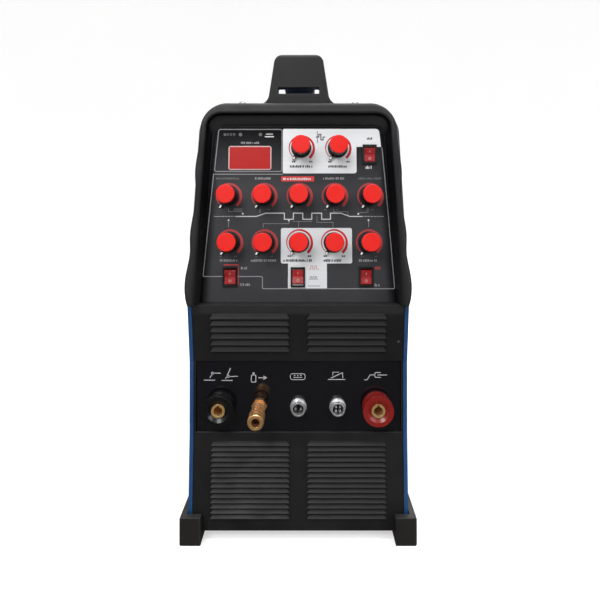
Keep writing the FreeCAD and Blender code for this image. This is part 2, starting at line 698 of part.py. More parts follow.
def make_panel():
    plate = panel_blank("plate_blank", 0, "Dims.plate_thick", 3.5, -D["panel_skirt"])
    on_panel(cut("control_plate", plate, *panel_holes("plate_panel", 2.2, 4)))
    film = panel_blank("film_blank", -D["film_thick"], "Dims.film_thick", -0.5, -D["panel_skirt"])
    on_panel(cut("panel_overlay", film, *panel_holes("film", 2.2, 0)))
    window = box("window_plate", "Dims.window_middle - Dims.window_width / 2 + 0.1", -0.9,
                 "Dims.window_level - Dims.window_height / 2 + 0.1", "Dims.window_width - 0.2", 0.9,
                 "Dims.window_height - 0.2")
    on_panel(group("display_window", window))

    pots = []
    for knob in KNOBS:
        x, height = knob_place(knob)
        can = rod(f"pot_{knob}_can", x, "Dims.plate_thick", height, 8, 10)
        bore = rod(f"pot_{knob}_bore", x, 0, height, "Dims.shaft_radius + 0.05", 10)
        pots.append(cut(f"pot_{knob}", can, bore))
    on_panel(group("potentiometers", *pots))

    board = box("board_sheet", -88, "Dims.plate_thick + 10", 48, 176, 1.6, 130)
    notch = box("board_notch", 66, 0, 142, 30, 30, 40)
    module = box("display_module", "Dims.window_middle - 23", "Dims.plate_thick",
        "Dims.window_level - 13", 46, 10, 26)
    on_panel(group("control_board", cut("board", board, notch), module))


def pointer_tab(start, thick):
    """The small tab on a knob's skirt that points at the scale; it leans away from 12 o'clock clockwise."""
    turn = math.radians(D["pointer_angle"])
    along = (math.sin(turn), math.cos(turn))
    across = (along[1], -along[0])
    corners = []
    for reach, half in ((7.0, 2.2), (D["pointer_reach"], 1.1), (D["pointer_reach"], -1.1), (7.0, -2.2)):
        corners.append((along[0] * reach + across[0] * half, along[1] * reach + across[1] * half, 0))
    return slab("knob_pointer", "xz", start, corners, thick)


def make_knobs():
    bottom = "-Dims.film_thick - Dims.knob_gap"
    barrel = rod("knob_barrel", 0, f"{bottom} - Dims.knob_height", 0, "Dims.knob_radius", "Dims.knob_height")
    skirt = rod("knob_skirt", 0, f"{bottom} - Dims.skirt_thick", 0, "Dims.skirt_radius", "Dims.skirt_thick")
    pointer = pointer_tab(-D["film_thick"] - D["knob_gap"] - D["skirt_thick"], "Dims.skirt_thick - 0.6")
    flutes = []
    for number in range(16):
        angle = math.radians(360 / 16 * (number + 0.5))
        reach = D["knob_radius"] + 0.35
        flutes.append(rod(f"knob_flute_{number}", f"{reach * math.cos(angle):.4f}",
                          f"{bottom} - Dims.knob_height - 1", f"{reach * math.sin(angle):.4f}", 0.9,
                          "Dims.knob_height - Dims.skirt_thick - 1"))
    shaft = rod("knob_shaft", 0, f"{bottom} - 1", 0, "Dims.shaft_radius",
        "Dims.knob_gap + Dims.film_thick + 10.5")
    master = fuse("knob_master", cut("knob_grip", barrel, *flutes), skirt, pointer, shaft)
    disc = rod("cap_disc", 0, f"{bottom} - Dims.knob_height - Dims.cap_thick", 0, "Dims.cap_radius",
        "Dims.cap_thick")
    doc.recompute()
    front = D["film_thick"] + D["knob_gap"] + D["knob_height"] + D["cap_thick"]
    rim = [n for n, edge in enumerate(disc.Shape.Edges, start=1) if abs(edge.CenterOfMass.y + front) < 0.01]
    cap = named("Part::Fillet", "cap_master")
    cap.Base = disc
    cap.Edges = [(number, 0.9, 0.9) for number in rim]
    for knob in KNOBS:
        x, height = knob_place(knob)
        on_panel(instance(f"knob_{knob}", master), x, height)
        on_panel(instance(f"cap_{knob}", cap), x, height)


def rocker_shape(name, width, tall, pivot, tilt):
    """A rocker actuator tipped by an angle about its pivot pin, which lies along X at y = pivot."""
    reach = tall / 2 - 1.1
    profile = [(-5.4, -reach, 0.4), (-3.8, 0, 0), (-5.4, reach, 0.4), (0, reach + 0.7, 0),
        (3.5, reach - 2.2, 1),
               (3.5, -reach + 2.2, 1), (0, -reach - 0.7, 0)]
    body = slab(f"{name}_paddle", "yz", -width / 2, profile, width)
    pin = rod(f"{name}_pin", -width / 2 - 0.6, 0, 0, 1.2, width + 1.2, "x")
    shape = turned(fuse(f"{name}_tipped", body, pin), (1, 0, 0), tilt)
    shape.Placement.Base = FreeCAD.Vector(0, pivot, 0)
    return shape


def housing_shape(name, width, tall, bezel_start, depth, pivot):
    """A rocker housing: a bezel in front of a box, open at the front, with the pin holes."""
    front = box(f"{name}_bezel", -width / 2, bezel_start, -tall / 2, width, 2, tall)
    back = box(f"{name}_box", -width / 2 + 1.15, bezel_start + 2, -tall / 2 + 1.15, width - 2.3, depth,
        tall - 2.3)
    inner_width = width - 3.2
    inner_tall = tall - 4.2
    opening = box(f"{name}_opening", -inner_width / 2, bezel_start - 1, -inner_tall / 2, inner_width,
        depth - 2,
                  inner_tall)
    pins = rod(f"{name}_pin_hole", -inner_width / 2 - 0.55, pivot, 0, 1.25, inner_width + 1.1, "x")
    return cut(name, fuse(f"{name}_walls", front, back), opening, pins)


def make_rockers():
    pivot = 2.5
    housings = []
    for name, (x, height, side) in ROCKERS.items():
        housing = housing_shape(f"{name}_housing", 15, 21, -2.4, 14, pivot)
        housing.Placement.Base = FreeCAD.Vector(x, 0, height)
        housings.append(housing)
        paddle = rocker_shape(f"{name}_paddle", D["rocker_width"] - 0.1, D["rocker_height"], pivot,
                              side * D["rocker_angle"])
        on_panel(instance(f"rocker_{name}", paddle), x, height)
    on_panel(group("rocker_housings", *housings))


# ---------------------------------------------------------------- rear


def make_rear():
    half = D["cover_width"] / 2 + 0.5
    bottom = D["cover_bottom"]
    top = D["cover_top"]
    face = D["rear_face"]
    thick = "Dims.rear_face - Dims.cover_rear"
    corners = [(-half, bottom, 0), (half, bottom, 0), (half, top + 1.5, 28.5), (-half, top + 1.5, 28.5)]
    blank = slab("rear_blank", "xz", D["cover_rear"], corners, thick)
    fan_hole = rod("rear_fan_hole", 0, D["cover_rear"] - 1, "Dims.fan_level", 56, 10)
    switch_hole = box("rear_switch_hole", 62 - 9.85, D["cover_rear"] - 1, 330 - 12.85, 19.7, 10, 25.7)
    cable_hole = rod("rear_cable_hole", -62, D["cover_rear"] - 1, 330, 8, 10)
    gas_hole = rod("rear_gas_hole", -62, D["cover_rear"] - 1, 270, 5, 10)
    earth_hole = rod("rear_earth_hole", 62, D["cover_rear"] - 1, 270, 3, 10)
    slots = []
    for row in range(6):
        height = 372 + row * 7
        slot = [(-60, height, 1.3), (60, height, 1.3), (60, height + 3, 1.3), (-60, height + 3, 1.3)]
        slots.append(slab(f"rear_vent_{row}", "xz", D["cover_rear"] - 1, slot, 10))
    screws = [rod(f"rear_screw_hole_{n}", x, D["cover_rear"] - 1, z, 2, 10)
              for n, (x, z) in enumerate(((-103, 225), (103, 225), (-98, 425), (98, 425)))]
    tools = [fan_hole, switch_hole, cable_hole, gas_hole, earth_hole, *slots, *screws]
    cut("rear_fascia", blank, *tools)

    housing = housing_shape("switch_body", 22, 28, 0, 20, 3.5)
    turned(housing, (0, 0, 1), 180)
    bind(housing, x=62, y=face + 2, z=330)
    group("mains_switch_housing", housing)
    paddle = rocker_shape("mains_paddle", 18.5, 23.6, 3.5, -7)
    mains = group("mains_rocker", paddle)
    turned(mains, (0, 0, 1), 180)
    bind(mains, x=62, y=face + 2, z=330)

    gland_base = hexagon("gland_base", -62, face, 330, 13, 6)
    gland_nut = rod("gland_nut", -62, face + 6, 330, 10, 5)
    gland_tail = cone("gland_tail", -62, face + 11, 330, 9, 6.5, 9)
    gland_stem = rod("gland_stem", -62, face - 16, 330, 8, 16)
    cable_bore = rod("gland_bore", -62, face - 20, 330, 5, 50)
    cut("cable_gland", fuse("gland_body", gland_base, gland_nut, gland_tail, gland_stem), cable_bore)
    rod("power_cable", -62, face - 26, 330, 5, "-Dims.band_face + Dims.gas_length - Dims.rear_face + 26")

    stem = rod("inlet_stem", -62, face - 16, 270, 5, 16)
    inlet_base = hexagon("inlet_base", -62, face, 270, 8, 7)
    barbs = [cone(f"inlet_barb_{n}", -62, face + 7 + 4 * n, 270, 4.4, 3.4, 4) for n in range(4)]
    inlet_bore = rod("inlet_bore", -62, face - 20, 270, 2.2, 60)
    cut("gas_inlet", fuse("inlet_body", stem, inlet_base, *barbs), inlet_bore)


def make_fan():
    size = "Dims.fan_size"
    start = "Dims.cover_rear - Dims.fan_depth"
    level = "Dims.fan_level"
    blank = box("fan_blank", f"-{size} / 2", start, f"{level} - {size} / 2", size, "Dims.fan_depth", size)
    tunnel = rod("fan_tunnel", 0, f"{start} - 1", level, "Dims.blade_radius + 2", "Dims.fan_depth + 2")
    motor = rod("fan_motor", 0, start, level, 17, 7)
    pin = rod("fan_pin", 0, start, level, 1.5, 20)
    arms = []
    for number in range(2):
        arm = box(f"fan_arm_{number}", -57, 0, -2, 114, 3, 4)
        holder = turned(group(f"fan_arm_pair_{number}", arm), (0, 1, 0), 45 + 90 * number)
        arms.append(bind(holder, y=start, z=level))
    fuse("fan_frame", cut("fan_case", blank, tunnel), motor, pin, *arms)

    hub = rod("rotor_hub", 0, f"{start} + 8", level, 18, 15)
    blades = []
    for number in range(7):
        blade = box(f"rotor_blade_{number}", 15, -7, -0.8, "Dims.blade_radius - 15", 14, 1.6)
        pitched = turned(group(f"rotor_blade_pitched_{number}", blade), (1, 0, 0), 35)
        spoke = turned(group(f"rotor_spoke_{number}", pitched), (0, 1, 0), 360 / 7 * number)
        blades.append(bind(spoke, y=f"{start} + 15.5", z=level))
    bore = rod("rotor_bore", 0, start, level, 1.55, 20.2)
    cut("fan_rotor", fuse("rotor_body", hub, *blades), bore)

    face = "Dims.rear_face"
    wires = []
    for number, radius in enumerate((14, 24, 34, 44, 55)):
        ring = turned(named("Part::Torus", f"guard_ring_{number}"), (1, 0, 0), 90)
        bind(ring, Radius1=radius, Radius2=1, y=f"{face} + 2.8", z=level)
        wires.append(ring)
    for number in range(4):
        wire = rod(f"guard_spoke_{number}", -60.5, 0, 0, 1, 121, "x")
        holder = turned(group(f"guard_spoke_turned_{number}", wire), (0, 1, 0), 45 * number)
        wires.append(bind(holder, y=f"{face} + 1", z=level))
    fuse("fan_guard", *wires)


# ---------------------------------------------------------------- inside and small hardware


def make_inside():
    floor = "Dims.cover_bottom + 1.5"
    spine = box("spine_board", -1, -140, floor, 2, 314, 400)
    sink_blank = box("sink_blank", -61, -110, 140, 60, 170, 200)
    gaps = [box(f"sink_gap_{n}", -65, -115, 146 + 12 * n, 56, 180, 8) for n in range(16)]
    sink = cut("heat_sink", sink_blank, *gaps)
    core = box("transformer_core", 1, -80, floor, 80, 100, 90)
    winding = box("transformer_winding", 15, -95, "Dims.cover_bottom + 16.5", 52, 130, 60)
    choke = rod("output_choke", 1, -30, 190, 34, 40, "x")
    capacitors = [rod(f"capacitor_{n}", 1, -70 + 42 * n, 320, 17, 50, "x") for n in range(4)]
    valve = box("gas_valve", -60, -90, floor, 30, 40, 50)
    group("power_unit", spine, sink, fuse("transformer", core, winding), choke, *capacitors, valve)


def pan_head(name, x, y, z, radius, thick, axis):
    """A screw: a low domed head on the named side and a short shank through the sheet."""
    head = named("Part::Sphere", f"{name}_dome")
    dome = (radius * radius + thick * thick) / (2 * thick)
    sink = dome - thick
    step = {"x": (1, 0, 0), "y": (0, 1, 0), "z": (0, 0, 1)}[axis]
    bind(head, Radius=dome, x=x - step[0] * sink, y=y - step[1] * sink, z=z - step[2] * sink)
    keep = rod(f"{name}_keep", x, y, z, radius, thick + 1, axis)
    shank = rod(f"{name}_shank", x - step[0] * 3, y - step[1] * 3, z - step[2] * 3, 2, 3 + thick / 2, axis)
    return fuse(name, common(f"{name}_head", head, keep), shank)


def make_screws():
    screws = [pan_head(f"hood_screw_{n}", x, -165, D["hood_top"], 4.8, 4.2, "z")
              for n, x in enumerate((-62, 62))]
    for n, (x, z) in enumerate(((-103, 225), (103, 225), (-98, 425), (98, 425))):
        screws.append(pan_head(f"rear_screw_{n}", x, D["rear_face"], z, 4.2, 2.6, "y"))
    for n, y in enumerate(SIDE_SCREWS):
        right = pan_head(f"side_screw_{n}", D["cover_width"] / 2, y, SIDE_SCREW_LEVEL, 4.2, 2.2, "x")
        screws += [right, mirrored(f"left_screw_{n}", right)]
    screws.append(rod("fascia_screw", 104, -198.9, 203, 1.3, 4))
    screws.append(rod("earth_stud", 62, D["rear_face"] - 6, 270, 3, 18))
    group("body_screws", *screws)


make_cover()
make_tray()
make_feet()
make_fascia()
make_current_socket("negative_socket", -2)
make_current_socket("positive_socket", 2)
make_inserts()
make_gas_outlet()
make_remote_sockets()
make_hood()
make_handle()
make_panel()
make_knobs()
make_rockers()
make_rear()
make_fan()
make_inside()
make_screws()
doc.recompute()


# ---------------------------------------------------------------- checks and export

NODES = [
    "cover", "base_tray", "foot_left", "foot_right", "front_fascia", "socket_plate", "negative_socket",
    "positive_socket", "socket_inserts", "gas_outlet", "gas_sleeve", "remote_shells", "remote_inserts",
    "control_hood",
    "carry_handle", "control_plate", "panel_overlay", "display_window", "potentiometers", "control_board",
    "rocker_housings", "rear_fascia", "mains_switch_housing", "mains_rocker", "cable_gland", "power_cable",
    "gas_inlet", "fan_frame", "fan_rotor", "fan_guard", "power_unit", "body_screws",
]
NODES += [f"rocker_{name}" for name in ROCKERS]
NODES += [f"knob_{name}" for name in KNOBS]
NODES += [f"cap_{name}" for name in KNOBS]

for obj in doc.Objects:
    if "Invalid" in obj.State or "Error" in obj.State:
        raise RuntimeError(f"{obj.Label} did not recompute: {obj.State}")

os.makedirs("parts", exist_ok=True)
for name in NODES:
    shape = doc.getObjectsByLabel(name)[0].Shape
    if shape.isNull() or not shape.isValid() or not shape.Solids:
        raise RuntimeError(f"{name} has no valid solid")
    shape.exportStep(f"parts/{name}.step")
print(len(NODES), "sub-parts written")
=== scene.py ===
import json
import math
import random

import bpy
from mathutils import Matrix, Vector


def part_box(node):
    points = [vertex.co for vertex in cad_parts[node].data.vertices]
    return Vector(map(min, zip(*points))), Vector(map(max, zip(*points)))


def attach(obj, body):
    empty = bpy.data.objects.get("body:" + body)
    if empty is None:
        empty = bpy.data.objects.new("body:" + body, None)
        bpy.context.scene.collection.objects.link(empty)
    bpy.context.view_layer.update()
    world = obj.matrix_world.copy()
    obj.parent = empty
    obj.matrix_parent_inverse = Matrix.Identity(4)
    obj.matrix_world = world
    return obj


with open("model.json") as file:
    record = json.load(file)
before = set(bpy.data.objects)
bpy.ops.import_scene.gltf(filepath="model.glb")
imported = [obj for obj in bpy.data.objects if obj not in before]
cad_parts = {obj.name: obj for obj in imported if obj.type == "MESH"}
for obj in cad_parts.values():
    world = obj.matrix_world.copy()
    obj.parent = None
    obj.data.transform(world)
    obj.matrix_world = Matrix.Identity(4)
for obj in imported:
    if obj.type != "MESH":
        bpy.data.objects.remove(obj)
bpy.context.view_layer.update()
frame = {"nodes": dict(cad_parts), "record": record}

RECORD = frame["record"]
MM = 0.001

# Lengths that the painted shade and painted highlights in the materials follow, m.
FILM_TAPER = 0.012  # how much narrower the panel film's half is at the top
ROOF_SHADE = (0.008, 0.070)  # below the film's top: where the painted shade under the roof is full, and where it ends
BORDER_SHADE = 0.010  # width of the painted shade down the film's sides
OPENING_LOW, OPENING_HIGH = 0.1045, 0.097  # half widths of the hood's opening at its foot and its top
LIP_WIDTH = 0.010  # of the hood beside its opening, across which the lips' painted shade grows
TOP_LIP = (0.016, 0.044)  # below the hood's top: where the top lip ends, and where the side lips begin
WALL_SHADE = 0.09  # below the hood's top, where the painted shade on its inner walls is darkest
LOWER_SLATS = (0.0945, 0.0052)  # bottom edge of one louvre slat and the pitch of the slats
UPPER_SLATS = (0.193, 0.0071)
TOP_STRIP = (0.011, 0.007)  # below the fascia's top edge: where the painted highlight strip begins and is full
RIDGE_PITCH = 0.0066  # from one groove of the gas coupler to the next

DUST = (0.34, 0.33, 0.31)
# Colour of the painted shade in the hood's recess and on its lips.
HOOD_PAINTED_SHADE = (0.0030, 0.0029, 0.0042)
BRUSHING = (4.0, 4.0, 900.0)  # noise scale along x, y and z, so that the streaks run along x

# ---------------------------------------------------------------- node materials


class Nodes:
    """A short way to add nodes to one material and wire them up."""

    def __init__(self, name):
        self.material = bpy.data.materials.new(name)
        self.material.use_nodes = True
        self.tree = self.material.node_tree
        self.tree.nodes.clear()
        self.output = self.tree.nodes.new("ShaderNodeOutputMaterial")
        self.shader = self.tree.nodes.new("ShaderNodeBsdfPrincipled")
        self.link(self.shader.outputs[0], self.output.inputs["Surface"])

    @classmethod
    def around(cls, material):
        """The same helper for a material that is already made."""
        n = cls.__new__(cls)
        n.material = material
        n.tree = material.node_tree
        n.shader = next(node for node in n.tree.nodes if node.type == "BSDF_PRINCIPLED")
        return n

    def overlay(self, name, factor, value):
        """Blends a colour over what already feeds one of the shader's inputs."""
        socket = self.shader.inputs[name]
        self.link(self.mix(factor, socket.links[0].from_socket, value), socket)

    def dull(self, factor, colour, specular):
        """Paints shade: blends towards a darker and less shiny surface."""
        self.overlay("Base Color", factor, colour)
        level = self.shader.inputs["Specular IOR Level"]
        self.link(self.ramp(factor, 0.0, 1.0, level.default_value, specular), level)

    def split(self, vector):
        """The x, y and z outputs of a vector."""
        made = self.node("SeparateXYZ")
        self.link(vector, made.inputs[0])
        return made.outputs

    def facing(self):
        """The x, y and z of the way the surface faces."""
        return self.split(self.node("NewGeometry").outputs["True Normal"])

    def node(self, kind, **values):
        made = self.tree.nodes.new("ShaderNode" + kind)
        for key, value in values.items():
            setattr(made, key, value)
        return made

    def link(self, source, target):
        """Wire an output to an input, or set the input to a number, a vector or a colour."""
        if isinstance(source, tuple) and target.type == "RGBA":
            target.default_value = (*source[:3], 1.0)
        elif isinstance(source, (int, float, tuple)):
            target.default_value = source
        else:
            self.tree.links.new(source, target)

    def position(self):
        return self.node("TexCoord").outputs["Object"]

    def noise(self, scale, detail=3.0, rough=0.55, vector=None):
        made = self.node("TexNoise")
        made.inputs["Scale"].default_value = scale
        made.inputs["Detail"].default_value = detail
        made.inputs["Roughness"].default_value = rough
        self.link(vector or self.position(), made.inputs["Vector"])
        return made.outputs["Fac"]

    def math(self, operation, first, second=0.5, clamp=False):
        made = self.node("Math", operation=operation, use_clamp=clamp)
        self.link(first, made.inputs[0])
        self.link(second, made.inputs[1])
        return made.outputs[0]

    def times(self, first, *others):
        """The product of two or more values."""
        for other in others:
            first = self.math("MULTIPLY", first, other)
        return first

    def ramp(self, value, low, high, out_low=0.0, out_high=1.0):
        """Maps low..high to out_low..out_high and holds the ends."""
        made = self.node("MapRange", clamp=True)
        for name, item in (("Value", value), ("From Min", low), ("From Max", high), ("To Min", out_low),
                           ("To Max", out_high)):
            self.link(item, made.inputs[name])
        return made.outputs[0]

    def mix(self, factor, first, second):
        made = self.node("Mix", data_type="RGBA")
        self.link(factor, made.inputs["Factor"])
        self.link(first, made.inputs["A"])
        self.link(second, made.inputs["B"])
        return made.outputs["Result"]

    def set(self, **values):
        for name, value in values.items():
            self.link(value, self.shader.inputs[name.replace("_", " ")])

    def rounded_normal(self, radius):
        """The surface normal as it would be if sharp edges were rounded."""
        bevel = self.node("Bevel", samples=4)
        bevel.inputs["Radius"].default_value = radius
        return bevel.outputs[0]

    def edge_mask(self, radius):
        """1 along sharp edges, 0 on flats, from how far the rounded normal leans off the true one."""
        product = self.node("VectorMath", operation="DOT_PRODUCT")
        self.link(self.rounded_normal(radius), product.inputs[0])
        self.link(self.node("NewGeometry").outputs["True Normal"], product.inputs[1])
        return self.ramp(product.outputs["Value"], 0.995, 0.8)

    def bump(self, height, strength, distance, normal=None):
        made = self.node("Bump")
        made.inputs["Strength"].default_value = strength
        made.inputs["Distance"].default_value = distance
        self.link(height, made.inputs["Height"])
        if normal is not None:
            self.link(normal, made.inputs["Normal"])
        return made.outputs[0]


def shade(colour, factor):
    return tuple(min(1.0, max(0.0, channel * factor)) for channel in colour[:3])


def surface(name, colour, rough=0.5, metal=0.0, grain=600.0, grain_depth=0.00012, wear=0.25, worn=None,
            dust=0.12, coat=0.0, bevel=0.0006, mottling=0.18, spread=0.12, specular=0.5):
    """A moulded, painted or plated surface with fine grain, mottled colour, worn edges and a little dust.

    Lengths (grain_depth, bevel) are in metres; grain is the noise's scale, so a larger one is finer.
    """
    n = Nodes(name)
    broad = n.noise(9.0, 4.0)
    fine = n.noise(grain, 2.0)
    smear = n.noise(38.0, 5.0, 0.62)
    base = n.mix(n.ramp(broad, 0.3, 0.7), shade(colour, 1 - mottling), shade(colour, 1 + mottling))
    edge = n.edge_mask(bevel * 1.6)
    rubbed = n.times(edge, n.ramp(smear, 0.42, 0.66, 0.1, 1.0), wear)
    worn = worn or tuple(channel * 0.6 + 0.16 for channel in colour)
    base = n.mix(rubbed, base, worn)
    up = n.split(n.node("NewGeometry").outputs["Normal"])["Z"]
    settled = n.times(n.ramp(up, 0.35, 1.0), n.ramp(smear, 0.35, 0.75), dust)
    base = n.mix(settled, base, DUST)
    roughness = n.ramp(smear, 0.3, 0.7, max(0.03, rough - spread), min(1.0, rough + spread))
    roughness = n.math("ADD", roughness, n.times(settled, 0.5), clamp=True)
    normal = n.bump(fine, 0.35, grain_depth, n.rounded_normal(bevel))
    n.set(Base_Color=base, Roughness=roughness, Metallic=metal, Normal=normal, Coat_Weight=coat,
          Specular_IOR_Level=specular)
    return n.material


def shaded_film(name, colour):
    """Satin printed film, with painted shade under the hood's roof and along its border."""
    material = surface(name, colour, 0.46, grain=1600, grain_depth=0.00006, wear=0.0, dust=0.0,
                       mottling=0.06, bevel=0.0002, specular=0.35)
    n = Nodes.around(material)
    low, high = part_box("panel_overlay")
    place = n.split(n.position())
    painted_roof_shade = n.ramp(place["Z"], high.z - ROOF_SHADE[1], high.z - ROOF_SHADE[0])
    half = (high.x - low.x) / 2
    lean = n.ramp(place["Z"], low.z, high.z, half, half - FILM_TAPER)
    border = n.ramp(n.math("SUBTRACT", lean, n.math("ABSOLUTE", place["X"])), BORDER_SHADE, 0.001)
    # painted shade: darker and less shiny under the hood's roof and along the film's border
    dark = n.math("MAXIMUM", n.times(painted_roof_shade, 0.95), border)
    n.dull(dark, shade(colour, 0.12), 0.04)
    return material


def moulded_hood(name, colour):
    """Textured hood plastic, with painted shade on the walls and ceiling round the recessed panel, which are
    darker and duller there.

    The lips beside the panel also get painted shade, darkening from their outer edge inwards.
    """
    material = surface(name, colour, 0.52, grain=1000, grain_depth=0.0002, wear=0.16, dust=0.012,
                       bevel=0.0015, specular=0.30)
    n = Nodes.around(material)
    low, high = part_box("control_hood")
    place = n.split(n.position())
    facing = n.facing()
    # painted shade: the inner walls and the ceiling darker and duller
    inward = n.times(n.math("SIGN", place["X"]), facing["X"], -1.0)
    depth_of_shade = n.ramp(place["Z"], low.z, high.z - WALL_SHADE, 0.15, 1.0)
    walls = n.times(n.ramp(inward, 0.15, 0.75), depth_of_shade)
    inside = n.math("MAXIMUM", walls, n.ramp(facing["Z"], -0.25, -0.75))
    # painted shade: the lips darker from their outer edge towards the opening
    opening = n.ramp(place["Z"], low.z, high.z, OPENING_LOW, OPENING_HIGH)
    lip = n.ramp(n.math("SUBTRACT", n.math("ABSOLUTE", place["X"]), opening), LIP_WIDTH, 0.0)
    below_top = n.ramp(place["Z"], high.z - TOP_LIP[0], high.z - TOP_LIP[1])
    lip = n.times(lip, below_top, n.ramp(facing["Y"], -0.4, -0.7))
    n.dull(n.math("MAXIMUM", inside, n.times(lip, 0.8)), HOOD_PAINTED_SHADE, 0.07)
    return material


def louvred_plastic(name, colour):
    """Fascia plastic with painted shade on its louvre slats, darker towards their tops, in under the slat
    above.

    The upper slats' bottom edges and the strip under the control panel get a painted highlight.
    """
    material = surface(name, colour, 0.5, grain=900, grain_depth=0.0002, wear=0.12, dust=0.012,
                       specular=0.27)
    n = Nodes.around(material)
    place = n.split(n.position())
    height = place["Z"]
    shares = []
    for start, pitch in (LOWER_SLATS, UPPER_SLATS):
        shares.append(n.math("FRACT", n.math("DIVIDE", n.math("SUBTRACT", height, start), pitch), 0.0))
    upper = n.math("GREATER_THAN", height, UPPER_SLATS[0])
    lower = n.math("SUBTRACT", 0.8, upper, clamp=True)
    # painted shade: each slat darker and duller towards its top
    lower_slat_shade = n.times(n.ramp(shares[0], 0.25, 0.85), lower)
    upper_slat_shade = n.times(n.ramp(shares[1], 0.10, 0.75), upper)
    slope = n.facing()["Z"]
    slat = n.times(n.ramp(slope, 0.25, 0.35), n.ramp(slope, 0.75, 0.65))
    n.dull(n.times(n.math("MAXIMUM", lower_slat_shade, upper_slat_shade), slat), shade(colour, 0.22), 0.05)
    # painted highlight: the upper slats' bottom edges and the strip under the control panel are lighter
    bottom_lip_highlight = n.times(n.ramp(shares[1], 0.2, 0.05), upper, slat)
    top_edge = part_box("front_fascia")[1].z
    near_top = n.ramp(height, top_edge - TOP_STRIP[0], top_edge - TOP_STRIP[1])
    top_strip_highlight = n.times(near_top, n.ramp(place["Y"], 0.0, -0.1))
    n.overlay("Base Color", n.math("MAXIMUM", bottom_lip_highlight, top_strip_highlight), shade(colour, 2.1))
    return material


def turned_metal(name, colour, rough, metal=1.0, axis="Y", ridges=0.0):
    """Plated or turned metal with fine lathe rings round the sockets' axis and a few tarnished patches.

    `ridges` is the depth in metres of coarse turned grooves across the same axis, whose bottoms get painted
    shade.
    """
    n = Nodes(name)
    smear = n.noise(60.0, 5.0, 0.6)
    rings = n.node("TexWave", wave_type="BANDS", bands_direction=axis)
    rings.inputs["Scale"].default_value = 700.0
    rings.inputs["Distortion"].default_value = 0.6
    n.link(n.position(), rings.inputs["Vector"])
    patches = n.ramp(smear, 0.45, 0.72)
    base = n.mix(patches, colour, shade(colour, 0.62))
    edge = n.edge_mask(0.0005)
    base = n.mix(n.times(edge, 0.5), base, shade(colour, 1.25))
    roughness = n.ramp(smear, 0.3, 0.75, rough, rough + 0.18)
    normal = n.bump(rings.outputs["Fac"], 0.12, 0.00005, n.rounded_normal(0.0003))
    if ridges:
        along = n.math("DIVIDE", n.split(n.position())[axis], RIDGE_PITCH)
        swell = n.math("SINE", n.times(along, math.tau))
        normal = n.bump(swell, 1.0, ridges, normal)
        # painted shade in the bottoms of the grooves
        base = n.mix(n.ramp(swell, -0.5, -0.95), base, shade(colour, 0.40))
    n.set(Base_Color=base, Metallic=metal, Roughness=roughness, Normal=normal)
    return n.material


def print_ink(name, colour, rough=0.45, specular=0.4):
    """Screen-printed ink: slightly uneven, with a soft edge of wear."""
    n = Nodes(name)
    speckle = n.noise(900.0, 2.0)
    broad = n.noise(25.0, 4.0)
    base = n.mix(n.ramp(broad, 0.3, 0.75), colour, shade(colour, 0.84))
    base = n.mix(n.ramp(speckle, 0.62, 0.8, 0.0, 0.35), base, shade(colour, 0.6))
    n.set(Base_Color=base, Roughness=n.ramp(broad, 0.3, 0.7, rough - 0.08, rough + 0.1),
          Normal=n.bump(speckle, 0.2, 0.00003), Specular_IOR_Level=specular)
    return n.material


def glossy_red(name, colour, painted_glow=0.0, rough=0.22, spread=0.2, coat=0.25, specular=0.5):
    """Translucent red plastic: deeper where it is thick, with a little painted glow that no lamp gives."""
    n = Nodes(name)
    broad = n.noise(30.0, 3.0)
    scratches = n.noise(90.0, 2.0, 0.5)
    facing = n.node("LayerWeight")
    facing.inputs["Blend"].default_value = 0.35
    base = n.mix(n.ramp(broad, 0.3, 0.7), shade(colour, 0.94), shade(colour, 1.06))
    base = n.mix(facing.outputs["Facing"], base, shade(colour, 0.45))
    n.set(Base_Color=base, Roughness=n.ramp(scratches, 0.35, 0.75, rough, rough + spread),
          Normal=n.bump(scratches, 0.04, 0.00003, n.rounded_normal(0.0005)))
    # painted glow: emission without any lamp inside
    n.set(Coat_Weight=coat, Emission_Color=colour, Emission_Strength=painted_glow, Specular_IOR_Level=specular,
          Subsurface_Weight=0.08, Subsurface_Radius=(0.004, 0.001, 0.0006))
    return n.material


def silver_film(name):
    """Silver print with a faint horizontal brushing."""
    n = Nodes(name)
    stretched = n.node("Mapping")
    stretched.inputs["Scale"].default_value = BRUSHING
    n.link(n.position(), stretched.inputs["Vector"])
    streaks = n.noise(1.0, 3.0, 0.6, stretched.outputs[0])
    broad = n.noise(14.0, 2.0)
    base = n.mix(n.ramp(streaks, 0.3, 0.7), (0.66, 0.67, 0.69), (0.72, 0.73, 0.75))
    base = n.mix(n.ramp(broad, 0.35, 0.7, 0.0, 0.25), base, (0.80, 0.80, 0.81))
    n.set(Base_Color=base, Metallic=0.25, Roughness=n.ramp(streaks, 0.3, 0.7, 0.34, 0.46),
          Normal=n.bump(streaks, 0.1, 0.00004))
    return n.material


